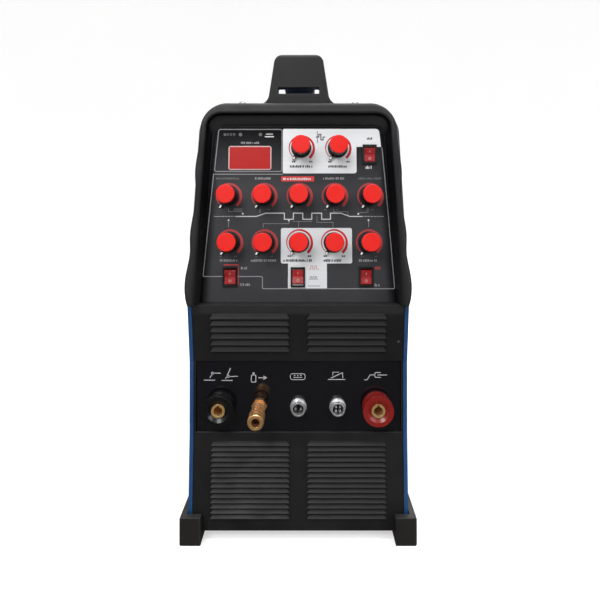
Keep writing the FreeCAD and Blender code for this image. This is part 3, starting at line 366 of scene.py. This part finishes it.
MATERIALS = {
    "cover_paint": surface("cover_paint", (0.005, 0.052, 0.165), 0.42, grain=1400, grain_depth=0.00022,
                           wear=0.3, worn=(0.12, 0.2, 0.34), dust=0.03, mottling=0.08, bevel=0.0009),
    "black_steel": surface("black_steel", (0.008, 0.008, 0.009), 0.5, grain=700, wear=0.1, dust=0.01,
                           specular=0.3),
    "zinc_steel": surface("zinc_steel", (0.5, 0.51, 0.52), 0.38, metal=0.9, grain=500, wear=0.2,
                          worn=(0.7, 0.7, 0.7)),
    "foot_rubber": surface("foot_rubber", (0.013, 0.011, 0.010), 0.6, grain=700, grain_depth=0.0003,
                           wear=0.25, dust=0.05, bevel=0.0012, specular=0.35),
    "fascia_plastic": louvred_plastic("fascia_plastic", (0.0098, 0.0094, 0.0100)),
    "gloss_black": surface("gloss_black", (0.004, 0.004, 0.0055), 0.10, grain=60, grain_depth=0.00004,
                           wear=0.1, dust=0.01, coat=0.7, spread=0.05, specular=0.4),
    "socket_black": surface("socket_black", (0.004, 0.004, 0.0045), 0.28, grain=500, wear=0.12, dust=0.01,
                            coat=0.1, specular=0.35),
    "socket_red": surface("socket_red", (0.19, 0.008, 0.006), 0.28, grain=400, wear=0.2,
                          worn=(0.4, 0.06, 0.05), dust=0.01, coat=0.2, specular=0.35),
    "brass_metal": turned_metal("brass_metal", (0.94, 0.60, 0.26), 0.26, 0.8),
    "chrome_metal": turned_metal("chrome_metal", (0.95, 0.95, 0.96), 0.18, 0.85),
    "screw_metal": turned_metal("screw_metal", (0.30, 0.30, 0.31), 0.34),
    "coupler_brass": turned_metal("coupler_brass", (0.90, 0.50, 0.22), 0.22, 0.85, ridges=0.0005),
    "hood_plastic": moulded_hood("hood_plastic", (0.0132, 0.0132, 0.0130)),
    "panel_film": shaded_film("panel_film", (0.029, 0.029, 0.0335)),
    # The unlit display window and the red switch get a painted glow.
    "display_red": glossy_red("display_red", (0.34, 0.017, 0.015), painted_glow=0.16, rough=0.30, spread=0.03,
                              coat=0.05, specular=0.15),
    "circuit_board": surface("circuit_board", (0.02, 0.16, 0.06), 0.35),
    "switch_black": surface("switch_black", (0.006, 0.006, 0.007), 0.34, grain=500, wear=0.12, dust=0.01,
                            specular=0.35),
    "switch_red": glossy_red("switch_red", (0.30, 0.010, 0.012), painted_glow=0.04),
    "cable_rubber": surface("cable_rubber", (0.012, 0.012, 0.012), 0.55, grain=500, grain_depth=0.0003,
                            dust=0.05),
    "aluminium_metal": surface("aluminium_metal", (0.62, 0.63, 0.64), 0.35, metal=1.0, grain=300, wear=0.2),
    "knob_black": surface("knob_black", (0.006, 0.006, 0.007), 0.42, grain=800, wear=0.12, dust=0.01,
                          specular=0.35),
    "knob_red": surface("knob_red", (0.66, 0.013, 0.009), 0.40, grain=900, grain_depth=0.00006, wear=0.2,
                        worn=(0.85, 0.16, 0.12), dust=0.01, mottling=0.05, specular=0.25),
}
OWN_FINISH = {"body_screws": "screw_metal", "gas_sleeve": "coupler_brass", "gas_outlet": "coupler_brass"}


def paint_nodes():
    """Gives each CAD node its record's material, or a finish of its own."""
    finish = {part["node"]: part["material_slot"] for part in RECORD["subparts"]} | OWN_FINISH
    for name, obj in frame["nodes"].items():
        obj.data.materials.clear()
        obj.data.materials.append(MATERIALS[finish[name]])


paint_nodes()


# ---------------------------------------------------------------- flat print drawn in millimetres

JOINTS = {joint["name"]: joint for joint in RECORD["behaviour"]["joints"]}
FILM_THICK = 0.4
WELD_KNOB = (0.5, 110.5)  # where the middle knob sits on the panel: x, and height up the panel
INWARD = Vector(JOINTS["weld_current_turn"]["axis"])
UPWARD = Vector((1, 0, 0)).cross(INWARD)
PANEL_ORIGIN = (Vector(JOINTS["weld_current_turn"]["pos_m"])
                - Vector((WELD_KNOB[0], 0, 0)) * MM - UPWARD * WELD_KNOB[1] * MM)


def on_panel(x, height, lift=FILM_THICK):
    """World point of a place on the control panel, `lift` mm in front of the steel plate."""
    return PANEL_ORIGIN + Vector((x, 0, 0)) * MM + UPWARD * height * MM - INWARD * lift * MM


def panel_spot(joint_name):
    """Panel x and height of a joint that sits on the panel, in mm."""
    offset = Vector(JOINTS[joint_name]["pos_m"]) - PANEL_ORIGIN
    return offset.x / MM, offset.dot(UPWARD) / MM


def on_band(x, z, lift=0.0):
    """World point on the face of the glossy socket band."""
    return Vector((x, 0, z)) * MM + Vector((0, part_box("socket_plate")[0].y - lift * MM, 0))


def circle(x, y, radius, steps):
    """Points round a circle."""
    angles = [2 * math.pi * i / steps for i in range(steps)]
    return [(x + radius * math.cos(angle), y + radius * math.sin(angle)) for angle in angles]


class Print:
    """Collects flat shapes in one ink and turns them into one thin mesh on a body."""

    def __init__(self, name, ink, place=on_panel, layer=1, body="machine"):
        self.name = name
        self.ink = ink
        self.place = place
        self.lift = 0.05 * layer + (FILM_THICK if place is on_panel else 0.0)
        self.body = body
        self.vertices = []
        self.faces = []

    def polygon(self, points):
        first = len(self.vertices)
        self.vertices += [self.place(x, y, self.lift) for x, y in points]
        self.faces.append(tuple(range(first, first + len(points))))

    def stroke(self, points, width, closed=False):
        """A line of even width through points, mitred at the corners."""
        points = [Vector(point) for point in points]
        count = len(points)
        sides = []
        for i, point in enumerate(points):
            before = point - points[i - 1] if i or closed else points[1] - point
            after = points[(i + 1) % count] - point if i < count - 1 or closed else before
            before, after = before.normalized(), after.normalized()
            normal = Vector((-(before.y + after.y), before.x + after.x)).normalized()
            reach = width / 2 / max(0.35, normal.dot(Vector((-before.y, before.x))))
            sides.append((point + normal * reach, point - normal * reach))
        for i in range(count if closed else count - 1):
            (a, b), (c, d) = sides[i], sides[(i + 1) % count]
            self.polygon([a, c, d, b])

    def bar(self, x0, x1, y, height):
        low, high = y - height / 2, y + height / 2
        self.polygon([(x0, low), (x1, low), (x1, high), (x0, high)])

    def disc(self, x, y, radius, steps=20):
        self.polygon(circle(x, y, radius, steps))

    def band(self, x, y, radii, start, end, steps=56):
        """An arc band, its angles in degrees clockwise from 12 o'clock.

        `radii` are the inner one, the outer one at the start and the outer one at the end.
        """
        inner, outer_start, outer_end = radii
        previous = None
        for i in range(steps + 1):
            share = i / steps
            angle = math.radians(start + (end - start) * share)
            direction = Vector((math.sin(angle), math.cos(angle)))
            outer = outer_start + (outer_end - outer_start) * share
            pair = (Vector((x, y)) + direction * inner, Vector((x, y)) + direction * outer)
            if previous:
                self.polygon([previous[0], pair[0], pair[1], previous[1]])
            previous = pair

    def marks(self, x0, x1, y, height, seed):
        """A row of small bars that stands for a label, with no lettering."""
        pick = random.Random(seed)
        x = x0
        while x < x1 - 0.6:
            width = pick.uniform(0.8, 1.7)
            end = min(x + width, x1)
            shade_height = height * pick.choice((1.0, 1.0, 0.75))
            self.bar(x, end, y - (height - shade_height) / 2, shade_height)
            x = end + (1.3 if pick.random() < 0.16 else 0.45)

    def build(self):
        mesh = bpy.data.meshes.new(self.name)
        mesh.from_pydata(self.vertices, [], self.faces)
        mesh.materials.append(self.ink)
        piece = bpy.data.objects.new(self.name, mesh)
        bpy.context.scene.collection.objects.link(piece)
        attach(piece, self.body)
        return piece


def rounded(corners, steps=5):
    """A closed outline through (x, y, radius) corners."""
    outline = []
    count = len(corners)
    for i, (x, y, radius) in enumerate(corners):
        here = Vector((x, y))
        back = (Vector(corners[i - 1][:2]) - here).normalized()
        ahead = (Vector(corners[(i + 1) % count][:2]) - here).normalized()
        if radius <= 0:
            outline.append(here)
            continue
        half = back.angle(ahead) / 2
        centre = here + (back + ahead).normalized() * radius / math.sin(half)
        start = here + back * radius / math.tan(half) - centre
        end = here + ahead * radius / math.tan(half) - centre
        turn = start.angle_signed(end)
        for step in range(steps + 1):
            outline.append(centre + Matrix.Rotation(-turn * step / steps, 2) @ start)
    return outline


INK_WHITE = print_ink("ink_white", (0.62, 0.62, 0.62))
INK_POINTER = print_ink("ink_pointer", (0.85, 0.85, 0.84))
INK_BAND = print_ink("ink_band", (0.46, 0.46, 0.46))
INK_GREY = print_ink("ink_grey", (0.24, 0.24, 0.25))
INK_DIM = print_ink("ink_dim", (0.10, 0.10, 0.105))
INK_DARK = print_ink("ink_dark", (0.03, 0.03, 0.035))
INK_RED = print_ink("ink_red", (0.42, 0.035, 0.04))
INK_PALE_RED = print_ink("ink_pale_red", (0.62, 0.42, 0.42))
INK_BRIGHT_RED = print_ink("ink_bright_red", (0.62, 0.03, 0.03))
INK_CRIMSON = print_ink("ink_crimson", (0.52, 0.018, 0.024), specular=0.2)
INK_SWITCH_MARK = print_ink("ink_switch_mark", (0.50, 0.26, 0.26))

# The panel's print in mm: x from its middle line, height up the panel from its foot.
WAVE_MIDDLE, WAVE_HIGH, WAVE_LOW = 88.6, 92.1, 85.6
ROW_LABELS = {"one": 142.5, "two": 129.4, "three": 42.0}
DISPLAY_BOX = [(-86.5, 183.0, 2), (-90.5, 137.0, 2), (-18.0, 137.0, 2), (-18.0, 183.0, 2)]
SILVER_TOP = [(-17.0, 183.6, 1.5), (-17.0, 134.9, 1.5), (62.3, 134.9, 2.5), (62.3, 163.8, 0),
              (89.0, 163.8, 0), (87.0, 183.6, 4)]
SILVER_PULSE = [(-18.7, 76.3, 2), (-18.7, 38.9, 2), (-11.0, 38.9, 0), (-11.0, 12.8, 0), (30.0, 12.8, 0),
                (30.0, 38.9, 0), (56.7, 38.9, 2), (56.7, 76.3, 2)]
MAIN_FRAME = [(-16.8, 134.0), (-91.3, 134.0), (-100.4, 26.2), (-99.6, 25.3), (-38.8, 25.3), (-37.9, 24.4),
              (-37.9, 13.6), (-36.9, 12.6), (100.0, 12.6), (101.0, 13.6), (95.4, 93.4), (89.9, 163.0)]
RED_LABEL = [(-18.6, 126.2, 0.6), (16.6, 126.2, 0.6), (16.6, 131.7, 0.6), (-18.6, 131.7, 0.6)]

WELDING_WAVE = [(-67.1, WAVE_MIDDLE), (-45.2, WAVE_MIDDLE), (-34.7, WAVE_HIGH), (-15.1, WAVE_HIGH),
                (-15.1, WAVE_LOW), (-5.6, WAVE_LOW), (-5.6, WAVE_HIGH), (4.5, WAVE_HIGH), (4.5, WAVE_LOW),
                (14.1, WAVE_LOW), (14.1, WAVE_HIGH), (24.6, WAVE_HIGH), (24.6, WAVE_LOW), (34.0, WAVE_LOW),
                (34.0, WAVE_HIGH), (45.1, WAVE_HIGH), (54.7, WAVE_MIDDLE), (68.2, WAVE_MIDDLE)]
WAVE_TAILS = [(-89.5, -68.4), (69.6, 90.0)]
WAVE_TAIL_DOTS = 14
WAVE_POINTS = [(-59.5, 91.6), (63.7, 91.4), (-74.5, 84.6), (74.5, 84.6), (-10.2, 84.2)]
LEADERS = [
    [(-37.5, 76.8), (-37.5, 80.9), (-10.2, 80.9), (-10.2, 84.0)],
    [(36.7, 76.8), (36.7, 82.3), (19.6, 82.3), (19.6, 89.4)],
    [(-6.0, 83.3), (14.2, 83.3)],
    [(0.0, 83.3), (0.0, 76.8)],
    [(37.4, 96.5), (37.4, 93.8), (52.5, 93.8), (52.5, 90.4)],
    [(64.4, 92.6), (74.0, 93.3), (74.0, 97.0)],
    [(-74.8, 97.0), (-74.8, 93.8), (-60.0, 93.8)],
]
SHORT_LEADERS = [[(x, top), (x, foot)] for x, top, foot in ((-41.2, 96.0, 92.0), (-74.5, 84.8, 77.2),
                                                            (74.5, 84.8, 77.2))]
AC_SYMBOL = [(18.6, 174.6), (21.8, 174.6), (21.8, 177.6), (24.0, 177.6), (24.0, 171.4), (26.4, 171.4),
             (26.4, 174.6), (28.6, 174.6)]
SLOW_PULSE = [(11.1, 33.0), (13.0, 33.0), (13.0, 36.4), (15.0, 36.4), (15.0, 33.0), (17.0, 33.0),
              (17.0, 36.4), (19.0, 36.4), (19.0, 33.0), (21.7, 33.0)]
FAST_PULSE = [(11.1, 22.4), (12.3, 22.4), (12.3, 25.2), (13.7, 25.2), (13.7, 22.4), (15.1, 22.4),
              (15.1, 25.2), (16.5, 25.2), (16.5, 22.4), (17.9, 22.4), (17.9, 25.2), (19.3, 25.2),
              (19.3, 22.4), (20.6, 22.4)]

# Rows of blank label bars: left, right, height up the panel, bar height, seed of the row's rhythm.
GREY_LABELS = [
    (-62.4, -42.9, 168.2, 2.2, 1),
    (-46.8, -29.7, ROW_LABELS["two"], 2.4, 2),
    (26.2, 48.7, ROW_LABELS["two"], 2.4, 3),
    (-83.0, -64.5, ROW_LABELS["three"], 2.4, 4),
    (-50.2, -23.8, ROW_LABELS["three"], 2.4, 5),
    (64.0, 83.0, ROW_LABELS["three"], 2.4, 6),
    (-60.7, -53.8, 34.1, 2.8, 7),
    (-61.0, -51.0, 16.9, 2.8, 8),
    (80.0, 86.6, 16.4, 3.0, 9),
]
DIM_LABELS = [
    (-88.7, -61.9, ROW_LABELS["two"], 2.2, 10),
    (63.8, 88.5, ROW_LABELS["two"], 2.2, 11),
]
WHITE_LABELS = [
    (-35.5, -28.0, 177.9, 1.2, 13),
    (72.0, 78.4, 141.4, 3.2, 14),
    (-16.6, 14.6, 128.9, 2.4, 15),
]
DARK_LABELS = [
    (-9.3, 15.5, ROW_LABELS["one"], 2.6, 17),
    (31.6, 52.1, ROW_LABELS["one"], 2.6, 18),
    (-16.0, 15.0, ROW_LABELS["three"], 2.6, 19),
    (26.4, 46.5, ROW_LABELS["three"], 2.6, 20),
    (73.6, 79.6, 173.0, 2.8, 21),
]
DIM_SCALE_ENDS = [(-82.0, 96.2), (-31.5, 95.9), (-44.8, 96.6), (42.0, 96.0), (79.0, 95.8), (29.0, 96.0),
                  (-81.5, 46.4), (-66.0, 46.4), (-43.6, 46.4), (-28.0, 46.4), (68.0, 46.4), (82.5, 46.4)]
DARK_SCALE_ENDS = [(-5.0, 147.6), (13.6, 147.6), (34.0, 147.6), (53.6, 147.6), (-9.4, 46.6), (12.0, 46.6),
                   (28.6, 46.6), (48.0, 46.6)]

SILVER_KNOBS = ("ac_frequency", "ac_balance", "pulse_frequency", "pulse_duty")
KNOBS = [name[:-len("_turn")] for name in JOINTS if name.endswith("_turn")]
ARC_START, ARC_END = 220, 500  # degrees clockwise from 12 o'clock
SILVER_ARC = (12.5, 13.1, 15.4)  # inner radius, outer radius at the start and at the end, mm
BLACK_ARC = (11.9, 13.0, 15.2)
POINTER_ANGLE = 214
FRAME_LINE, LEADER_LINE, STEM_LINE, WAVE_LINE = 0.9, 0.45, 0.6, 0.95  # line widths, mm


def print_silver():
    silver = Print("print_silver", silver_film("silver_film"), layer=1)
    silver.polygon(rounded(SILVER_TOP))
    silver.polygon(rounded(SILVER_PULSE))
    silver.build()


def print_grey():
    """Frames, leader lines and most labels."""
    grey = Print("print_grey", INK_GREY, layer=2)
    grey.stroke(rounded(DISPLAY_BOX), FRAME_LINE, closed=True)
    grey.stroke(MAIN_FRAME, FRAME_LINE)
    for label in GREY_LABELS:
        grey.marks(*label)
    for leader in LEADERS:
        grey.stroke(leader, LEADER_LINE)
    for leader in SHORT_LEADERS:
        grey.stroke(leader, STEM_LINE)
    for x in (-80.9, -79.3):
        grey.bar(x, x + 0.6, 177.3, 2.6)
    for x in (-76.6, -73.2, -69.8):
        square = [(x - 1, 176.6, 0.6), (x + 1, 176.6, 0.6), (x + 1, 178.4, 0.6), (x - 1, 178.4, 0.6)]
        grey.stroke(rounded(square), 0.3, closed=True)
    grey.build()


def print_dim():
    """Two small lamps over the display, and the faintest marks."""
    dim = Print("print_dim", INK_DIM, layer=2)
    dim.disc(-63.0, 177.3, 1.9)
    dim.disc(-41.4, 177.3, 1.9)
    dim.polygon([(-69.5, 94.4), (-60.0, 94.4), (-60.0, 97.4), (-69.5, 97.4)])
    for label in DIM_LABELS:
        dim.marks(*label)
    for x, height in DIM_SCALE_ENDS:
        dim.marks(x - 1.9, x + 1.9, height, 1.6, 12)
    dim.build()


def print_white():
    """The welding current's wave with its dotted tails, and the brightest labels."""
    white = Print("print_white", INK_WHITE, layer=3)
    white.stroke(WELDING_WAVE, WAVE_LINE)
    for first, last in WAVE_TAILS:
        for step in range(WAVE_TAIL_DOTS):
            white.disc(first + (last - first) * step / (WAVE_TAIL_DOTS - 1), WAVE_MIDDLE, 0.42, 10)
    for x, height in WAVE_POINTS:
        white.disc(x, height, 0.95)
    white.bar(-36.5, -26.7, 175.0, 1.2)
    for label in WHITE_LABELS:
        white.marks(*label)
    white.build()


def print_reds():
    """The highlighted label, the frame of the left switch, the pulse symbol and the arcs round the knobs."""
    red = Print("print_red", INK_BRIGHT_RED, layer=2)
    red.polygon(rounded(RED_LABEL))
    red.stroke([(-78.8, 37.4), (-63.6, 37.4)], 1.1)
    red.build()

    dull_red = Print("print_dull_red", INK_RED, layer=2)
    dull_red.stroke([(-63.4, 36.8), (-63.4, 16.0)], FRAME_LINE)
    dull_red.marks(80.6, 86.4, 34.1, 2.8, 16)
    dull_red.stroke(SLOW_PULSE, LEADER_LINE)
    crimson = Print("print_crimson", INK_CRIMSON, layer=2)
    for knob in KNOBS:
        x, height = panel_spot(knob + "_turn")
        if knob in SILVER_KNOBS:
            crimson.band(x, height, SILVER_ARC, ARC_START, ARC_END)
        else:
            dull_red.band(x, height, BLACK_ARC, ARC_START, ARC_END)
    dull_red.build()
    crimson.build()


def print_on_silver():
    """Dark labels and symbols on the two silver fields."""
    dark = Print("print_dark", INK_DARK, layer=3)
    for label in DARK_LABELS:
        dark.marks(*label)
    for x, height in DARK_SCALE_ENDS:
        dark.marks(x - 2.2, x + 2.2, height, 1.7, 22)
    dark.stroke([(20.2, 181.0), (20.2, 168.0)], 0.7)
    dark.stroke(AC_SYMBOL, 1.1)
    dark.build()

    grey_on_silver = Print("print_grey_on_silver", INK_DIM, layer=3)
    grey_on_silver.stroke(FAST_PULSE, 0.5)
    grey_on_silver.stroke([(10.1, 15.4), (22.7, 15.4)], 0.6)
    grey_on_silver.build()


def print_display_frame():
    """The pale line round the display window."""
    low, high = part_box("display_window")
    left, right = low.x / MM, high.x / MM
    middle = ((low + high) / 2 - PANEL_ORIGIN).dot(UPWARD) / MM
    half = (high.z - low.z) / MM / 2
    frame_line = Print("print_display_frame", INK_PALE_RED, layer=3)
    corners = [(left - 0.6, middle - half - 0.6, 1.8), (right + 0.6, middle - half - 0.6, 1.8),
               (right + 0.6, middle + half + 0.6, 1.8), (left - 0.6, middle + half + 0.6, 1.8)]
    frame_line.stroke(rounded(corners), 1.3, closed=True)
    frame_line.build()


SKIRT_FACE = 4.0  # front of a knob's skirt, mm ahead of the steel plate


def print_pointers():
    """The white mark on every knob's pointer tab."""
    for knob in KNOBS:
        x, height = panel_spot(knob + "_turn")
        pointer = Print(f"pointer_{knob}", INK_POINTER, body=f"{knob}_knob")
        pointer.lift = SKIRT_FACE + 0.05
        angle = math.radians(POINTER_ANGLE)
        along = Vector((math.sin(angle), math.cos(angle)))
        middle = Vector((x, height))
        pointer.stroke([middle + along * 12.4, middle + along * 15.2], 1.7)
        pointer.build()


ROCKER_PIVOT = 2.5  # mm behind the plate's face
ROCKER_FACE = 3.8  # from the rocker's pivot to the valley between its two halves, mm
ROCKER_SLOPE = 1.6 / 7.2  # how fast each half rises from the valley
ROCKER_MARK = 3.8  # from the valley to the middle of each mark, mm
RING_RADIUS = 1.2
ROCKER_TILT = {"output": 9, "mode": 9, "pulse": -9, "trigger": 9}


def print_rocker_marks():
    """A line on the upper half and a ring on the lower half of each rocker."""
    for name, tilt in ROCKER_TILT.items():
        x0, height0 = panel_spot(name + "_rock")
        turn = math.radians(tilt)

        def place(x, along, lift, x0=x0, height0=height0, turn=turn):
            y = -ROCKER_FACE - abs(along) * ROCKER_SLOPE - lift
            return on_panel(x0 + x, height0 + y * math.sin(turn) + along * math.cos(turn),
                            -(ROCKER_PIVOT + y * math.cos(turn) - along * math.sin(turn)))

        mark = Print(f"rocker_mark_{name}", INK_SWITCH_MARK, place=place, body=f"{name}_switch")
        mark.lift = 0.08
        mark.bar(-0.35, 0.35, ROCKER_MARK, 2.6)
        mark.stroke(circle(0, -ROCKER_MARK, RING_RADIUS, 16), 0.5, closed=True)
        mark.build()


BAND_INK = 0.8  # line width of the socket band's symbols, mm


def print_band():
    """White symbols over the sockets, from left to right."""
    icons = Print("band_symbols", INK_BAND, place=on_band, layer=2)
    # torch
    icons.stroke([(-99.0, 160.9), (-87.4, 160.9)], BAND_INK)
    icons.stroke([(-93.0, 163.4), (-89.6, 168.2), (-81.4, 168.2)], BAND_INK)
    icons.disc(-90.0, 168.0, 1.5)
    # electrode in its holder
    icons.stroke([(-80.6, 160.6), (-69.0, 160.6)], BAND_INK)
    icons.stroke([(-75.2, 164.4), (-71.2, 173.4)], BAND_INK * 1.2)
    icons.stroke([(-76.6, 162.6), (-74.6, 164.6), (-63.6, 164.9)], BAND_INK)
    icons.disc(-73.6, 164.8, 1.5)
    # gas bottle with an arrow
    bottle = [(-49.4, 158.8, 1.2), (-44.6, 158.8, 1.2), (-44.6, 166.4, 1.8), (-49.4, 166.4, 1.8)]
    icons.stroke(rounded(bottle), BAND_INK, closed=True)
    icons.bar(-48.0, -46.0, 168.0, 1.8)
    icons.stroke([(-42.0, 163.4), (-35.6, 163.4)], BAND_INK)
    icons.polygon([(-36.6, 165.6), (-36.6, 161.2), (-32.8, 163.4)])
    # hand remote
    remote = [(-8.4, 161.4, 2.2), (7.0, 161.4, 2.2), (7.0, 167.6, 2.2), (-8.4, 167.6, 2.2)]
    icons.stroke(rounded(remote), BAND_INK * 0.8, closed=True)
    icons.stroke([(-5.2, 163.6), (3.8, 163.6)], 0.6)
    icons.disc(-4.0, 165.6, 0.7)
    icons.disc(-0.7, 165.6, 0.7)
    icons.disc(2.6, 165.6, 0.7)
    # foot pedal
    icons.stroke([(31.0, 161.6), (49.0, 161.6)], BAND_INK)
    icons.stroke([(34.0, 163.0), (46.4, 168.8)], BAND_INK)
    icons.stroke([(46.4, 168.8), (46.4, 163.0)], 0.7)
    icons.stroke([(36.0, 165.8), (36.0, 169.2), (42.6, 169.2)], 0.6)
    # work clamp and its cable
    icons.stroke([(68.8, 161.2), (72.0, 161.2), (75.2, 166.4), (80.6, 166.4)], BAND_INK)
    clamp = [(86.4, 168.8), (80.8, 168.8), (79.8, 167.0), (79.8, 165.6), (80.8, 163.8), (86.4, 163.8)]
    icons.stroke(clamp, BAND_INK)
    icons.stroke([(82.8, 166.3), (92.8, 166.3)], BAND_INK)
    icons.build()


print_silver()
print_grey()
print_dim()
print_white()
print_reds()
print_on_silver()
print_display_frame()
print_pointers()
print_rocker_marks()
print_band()


# ---------------------------------------------------------------- studio and camera

CAMERA_PLACE = Vector((9, -753, 355)) * MM
FOCAL_SHARE = 534 / 600  # focal length over picture width
PRINCIPAL = (-0.01167, -0.175)  # lens shift, which keeps the camera level and the uprights upright


def make_camera():
    """A level camera whose lens shift works only from its own place, so other views stay centred."""
    data = bpy.data.cameras.new("camera")
    data.sensor_width = 36.0
    data.lens = data.sensor_width * FOCAL_SHARE
    data.clip_start = 0.01
    camera = bpy.data.objects.new("camera", data)
    camera.location = CAMERA_PLACE
    camera.rotation_euler = (math.radians(90), 0, 0)
    bpy.context.scene.collection.objects.link(camera)
    bpy.context.scene.camera = camera
    for path, shift in zip(("shift_x", "shift_y"), PRINCIPAL):
        driver = data.driver_add(path).driver
        driver.type = "SCRIPTED"
        for name, channel in (("x", "LOC_X"), ("y", "LOC_Y")):
            variable = driver.variables.new()
            variable.name = name
            variable.type = "TRANSFORMS"
            variable.targets[0].id = camera
            variable.targets[0].transform_type = channel
        driver.expression = (f"{shift} if abs(x - {CAMERA_PLACE.x:.4f}) < 0.002 and "
                             f"abs(y - {CAMERA_PLACE.y:.4f}) < 0.002 else 0")


BOUNCED = (0.42, 0.42, 0.42)  # the paper as it colours the light it throws back
PAPER_LIFT = 0.52  # light added to the paper where the camera sees it


def make_bowl():
    """A pale floor that curves up into a wall all round, so every view has a clean ground."""
    steps = 96
    bend_steps = 8
    floor_radius, bend, height = 2.2, 0.9, 2.6
    section = [(floor_radius, 0.0)]
    for number in range(1, bend_steps + 1):
        angle = math.pi / 2 * number / bend_steps
        section.append((floor_radius + bend * math.sin(angle), bend * (1 - math.cos(angle))))
    section.append((floor_radius + bend, height))
    mesh = bpy.data.meshes.new("studio_bowl")
    verts = []
    faces = []
    for radius, z in section:
        verts += [(x, y, z) for x, y in circle(0, 0, radius, steps)]
    for ring in range(len(section) - 1):
        for step in range(steps):
            after = (step + 1) % steps
            faces.append((ring * steps + step, ring * steps + after, (ring + 1) * steps + after,
                          (ring + 1) * steps + step))
    faces.append(tuple(range(steps)))
    mesh.from_pydata(verts, [], faces)
    for face in mesh.polygons:
        face.use_smooth = len(face.vertices) == 4
    bowl = bpy.data.objects.new("studio_bowl", mesh)
    bpy.context.scene.collection.objects.link(bowl)
    n = Nodes("studio_paper")
    broad = n.noise(1.5, 3.0)
    seen = n.node("LightPath").outputs["Is Camera Ray"]
    paper = n.mix(broad, (0.56, 0.56, 0.56), (0.60, 0.60, 0.595))
    n.set(Base_Color=n.mix(seen, BOUNCED, paper), Roughness=n.ramp(broad, 0.3, 0.7, 0.75, 0.9),
          Normal=n.bump(n.noise(300.0), 0.05, 0.0002))
    n.set(Emission_Color=(1.0, 1.0, 1.0), Emission_Strength=n.times(seen, PAPER_LIFT))
    bowl.visible_glossy = False
    mesh.materials.append(n.material)


def area_light(name, place, size, power):
    """A rectangular lamp that looks at the object's middle."""
    data = bpy.data.lights.new(name, "AREA")
    data.shape = "RECTANGLE"
    data.size, data.size_y = size
    data.energy = power
    light = bpy.data.objects.new(name, data)
    light.location = place
    light.rotation_euler = (Vector(LIGHT_TARGET) - Vector(place)).to_track_quat("-Z", "Y").to_euler()
    bpy.context.scene.collection.objects.link(light)


SOFT_LIGHT = 0.8
REFLECTED_HORIZON = 0.08
REFLECTED_CEILING = 0.9


def make_world():
    """Even soft light, but in reflections a dark horizon under a bright ceiling."""
    world = bpy.data.worlds.new("studio")
    world.use_nodes = True
    tree = world.node_tree
    background = tree.nodes["Background"]
    path = tree.nodes.new("ShaderNodeLightPath")
    direction = tree.nodes.new("ShaderNodeTexCoord")
    split = tree.nodes.new("ShaderNodeSeparateXYZ")
    ramp = tree.nodes.new("ShaderNodeMapRange")
    tree.links.new(direction.outputs["Generated"], split.inputs[0])
    tree.links.new(split.outputs["Z"], ramp.inputs["Value"])
    for name, value in (("From Min", -0.15), ("From Max", 0.9), ("To Min", REFLECTED_HORIZON),
                        ("To Max", REFLECTED_CEILING)):
        ramp.inputs[name].default_value = value
    mix = tree.nodes.new("ShaderNodeMix")
    mix.data_type = "FLOAT"
    tree.links.new(path.outputs["Is Glossy Ray"], mix.inputs["Factor"])
    mix.inputs["A"].default_value = SOFT_LIGHT
    tree.links.new(ramp.outputs[0], mix.inputs["B"])
    background.inputs[0].default_value = (1, 1, 1, 1)
    tree.links.new(mix.outputs[0], background.inputs[1])
    bpy.context.scene.world = world


LIGHT_TARGET = (0, 0, 0.25)
LIGHTS = {  # name: place, size, watts
    "key": ((-0.7, -1.7, 1.5), (0.9, 0.9), 24),
    "fill": ((1.3, -1.5, 0.9), (1.0, 1.0), 10),
    "top": ((0, -0.1, 2.2), (1.6, 1.6), 42),
    "back": ((0.4, 1.9, 1.3), (1.4, 1.0), 22),
}


def make_lights():
    for name, (place, size, power) in LIGHTS.items():
        area_light(name, place, size, power)
    bpy.context.scene.view_settings.view_transform = "Standard"


make_camera()
make_bowl()
make_world()
make_lights()
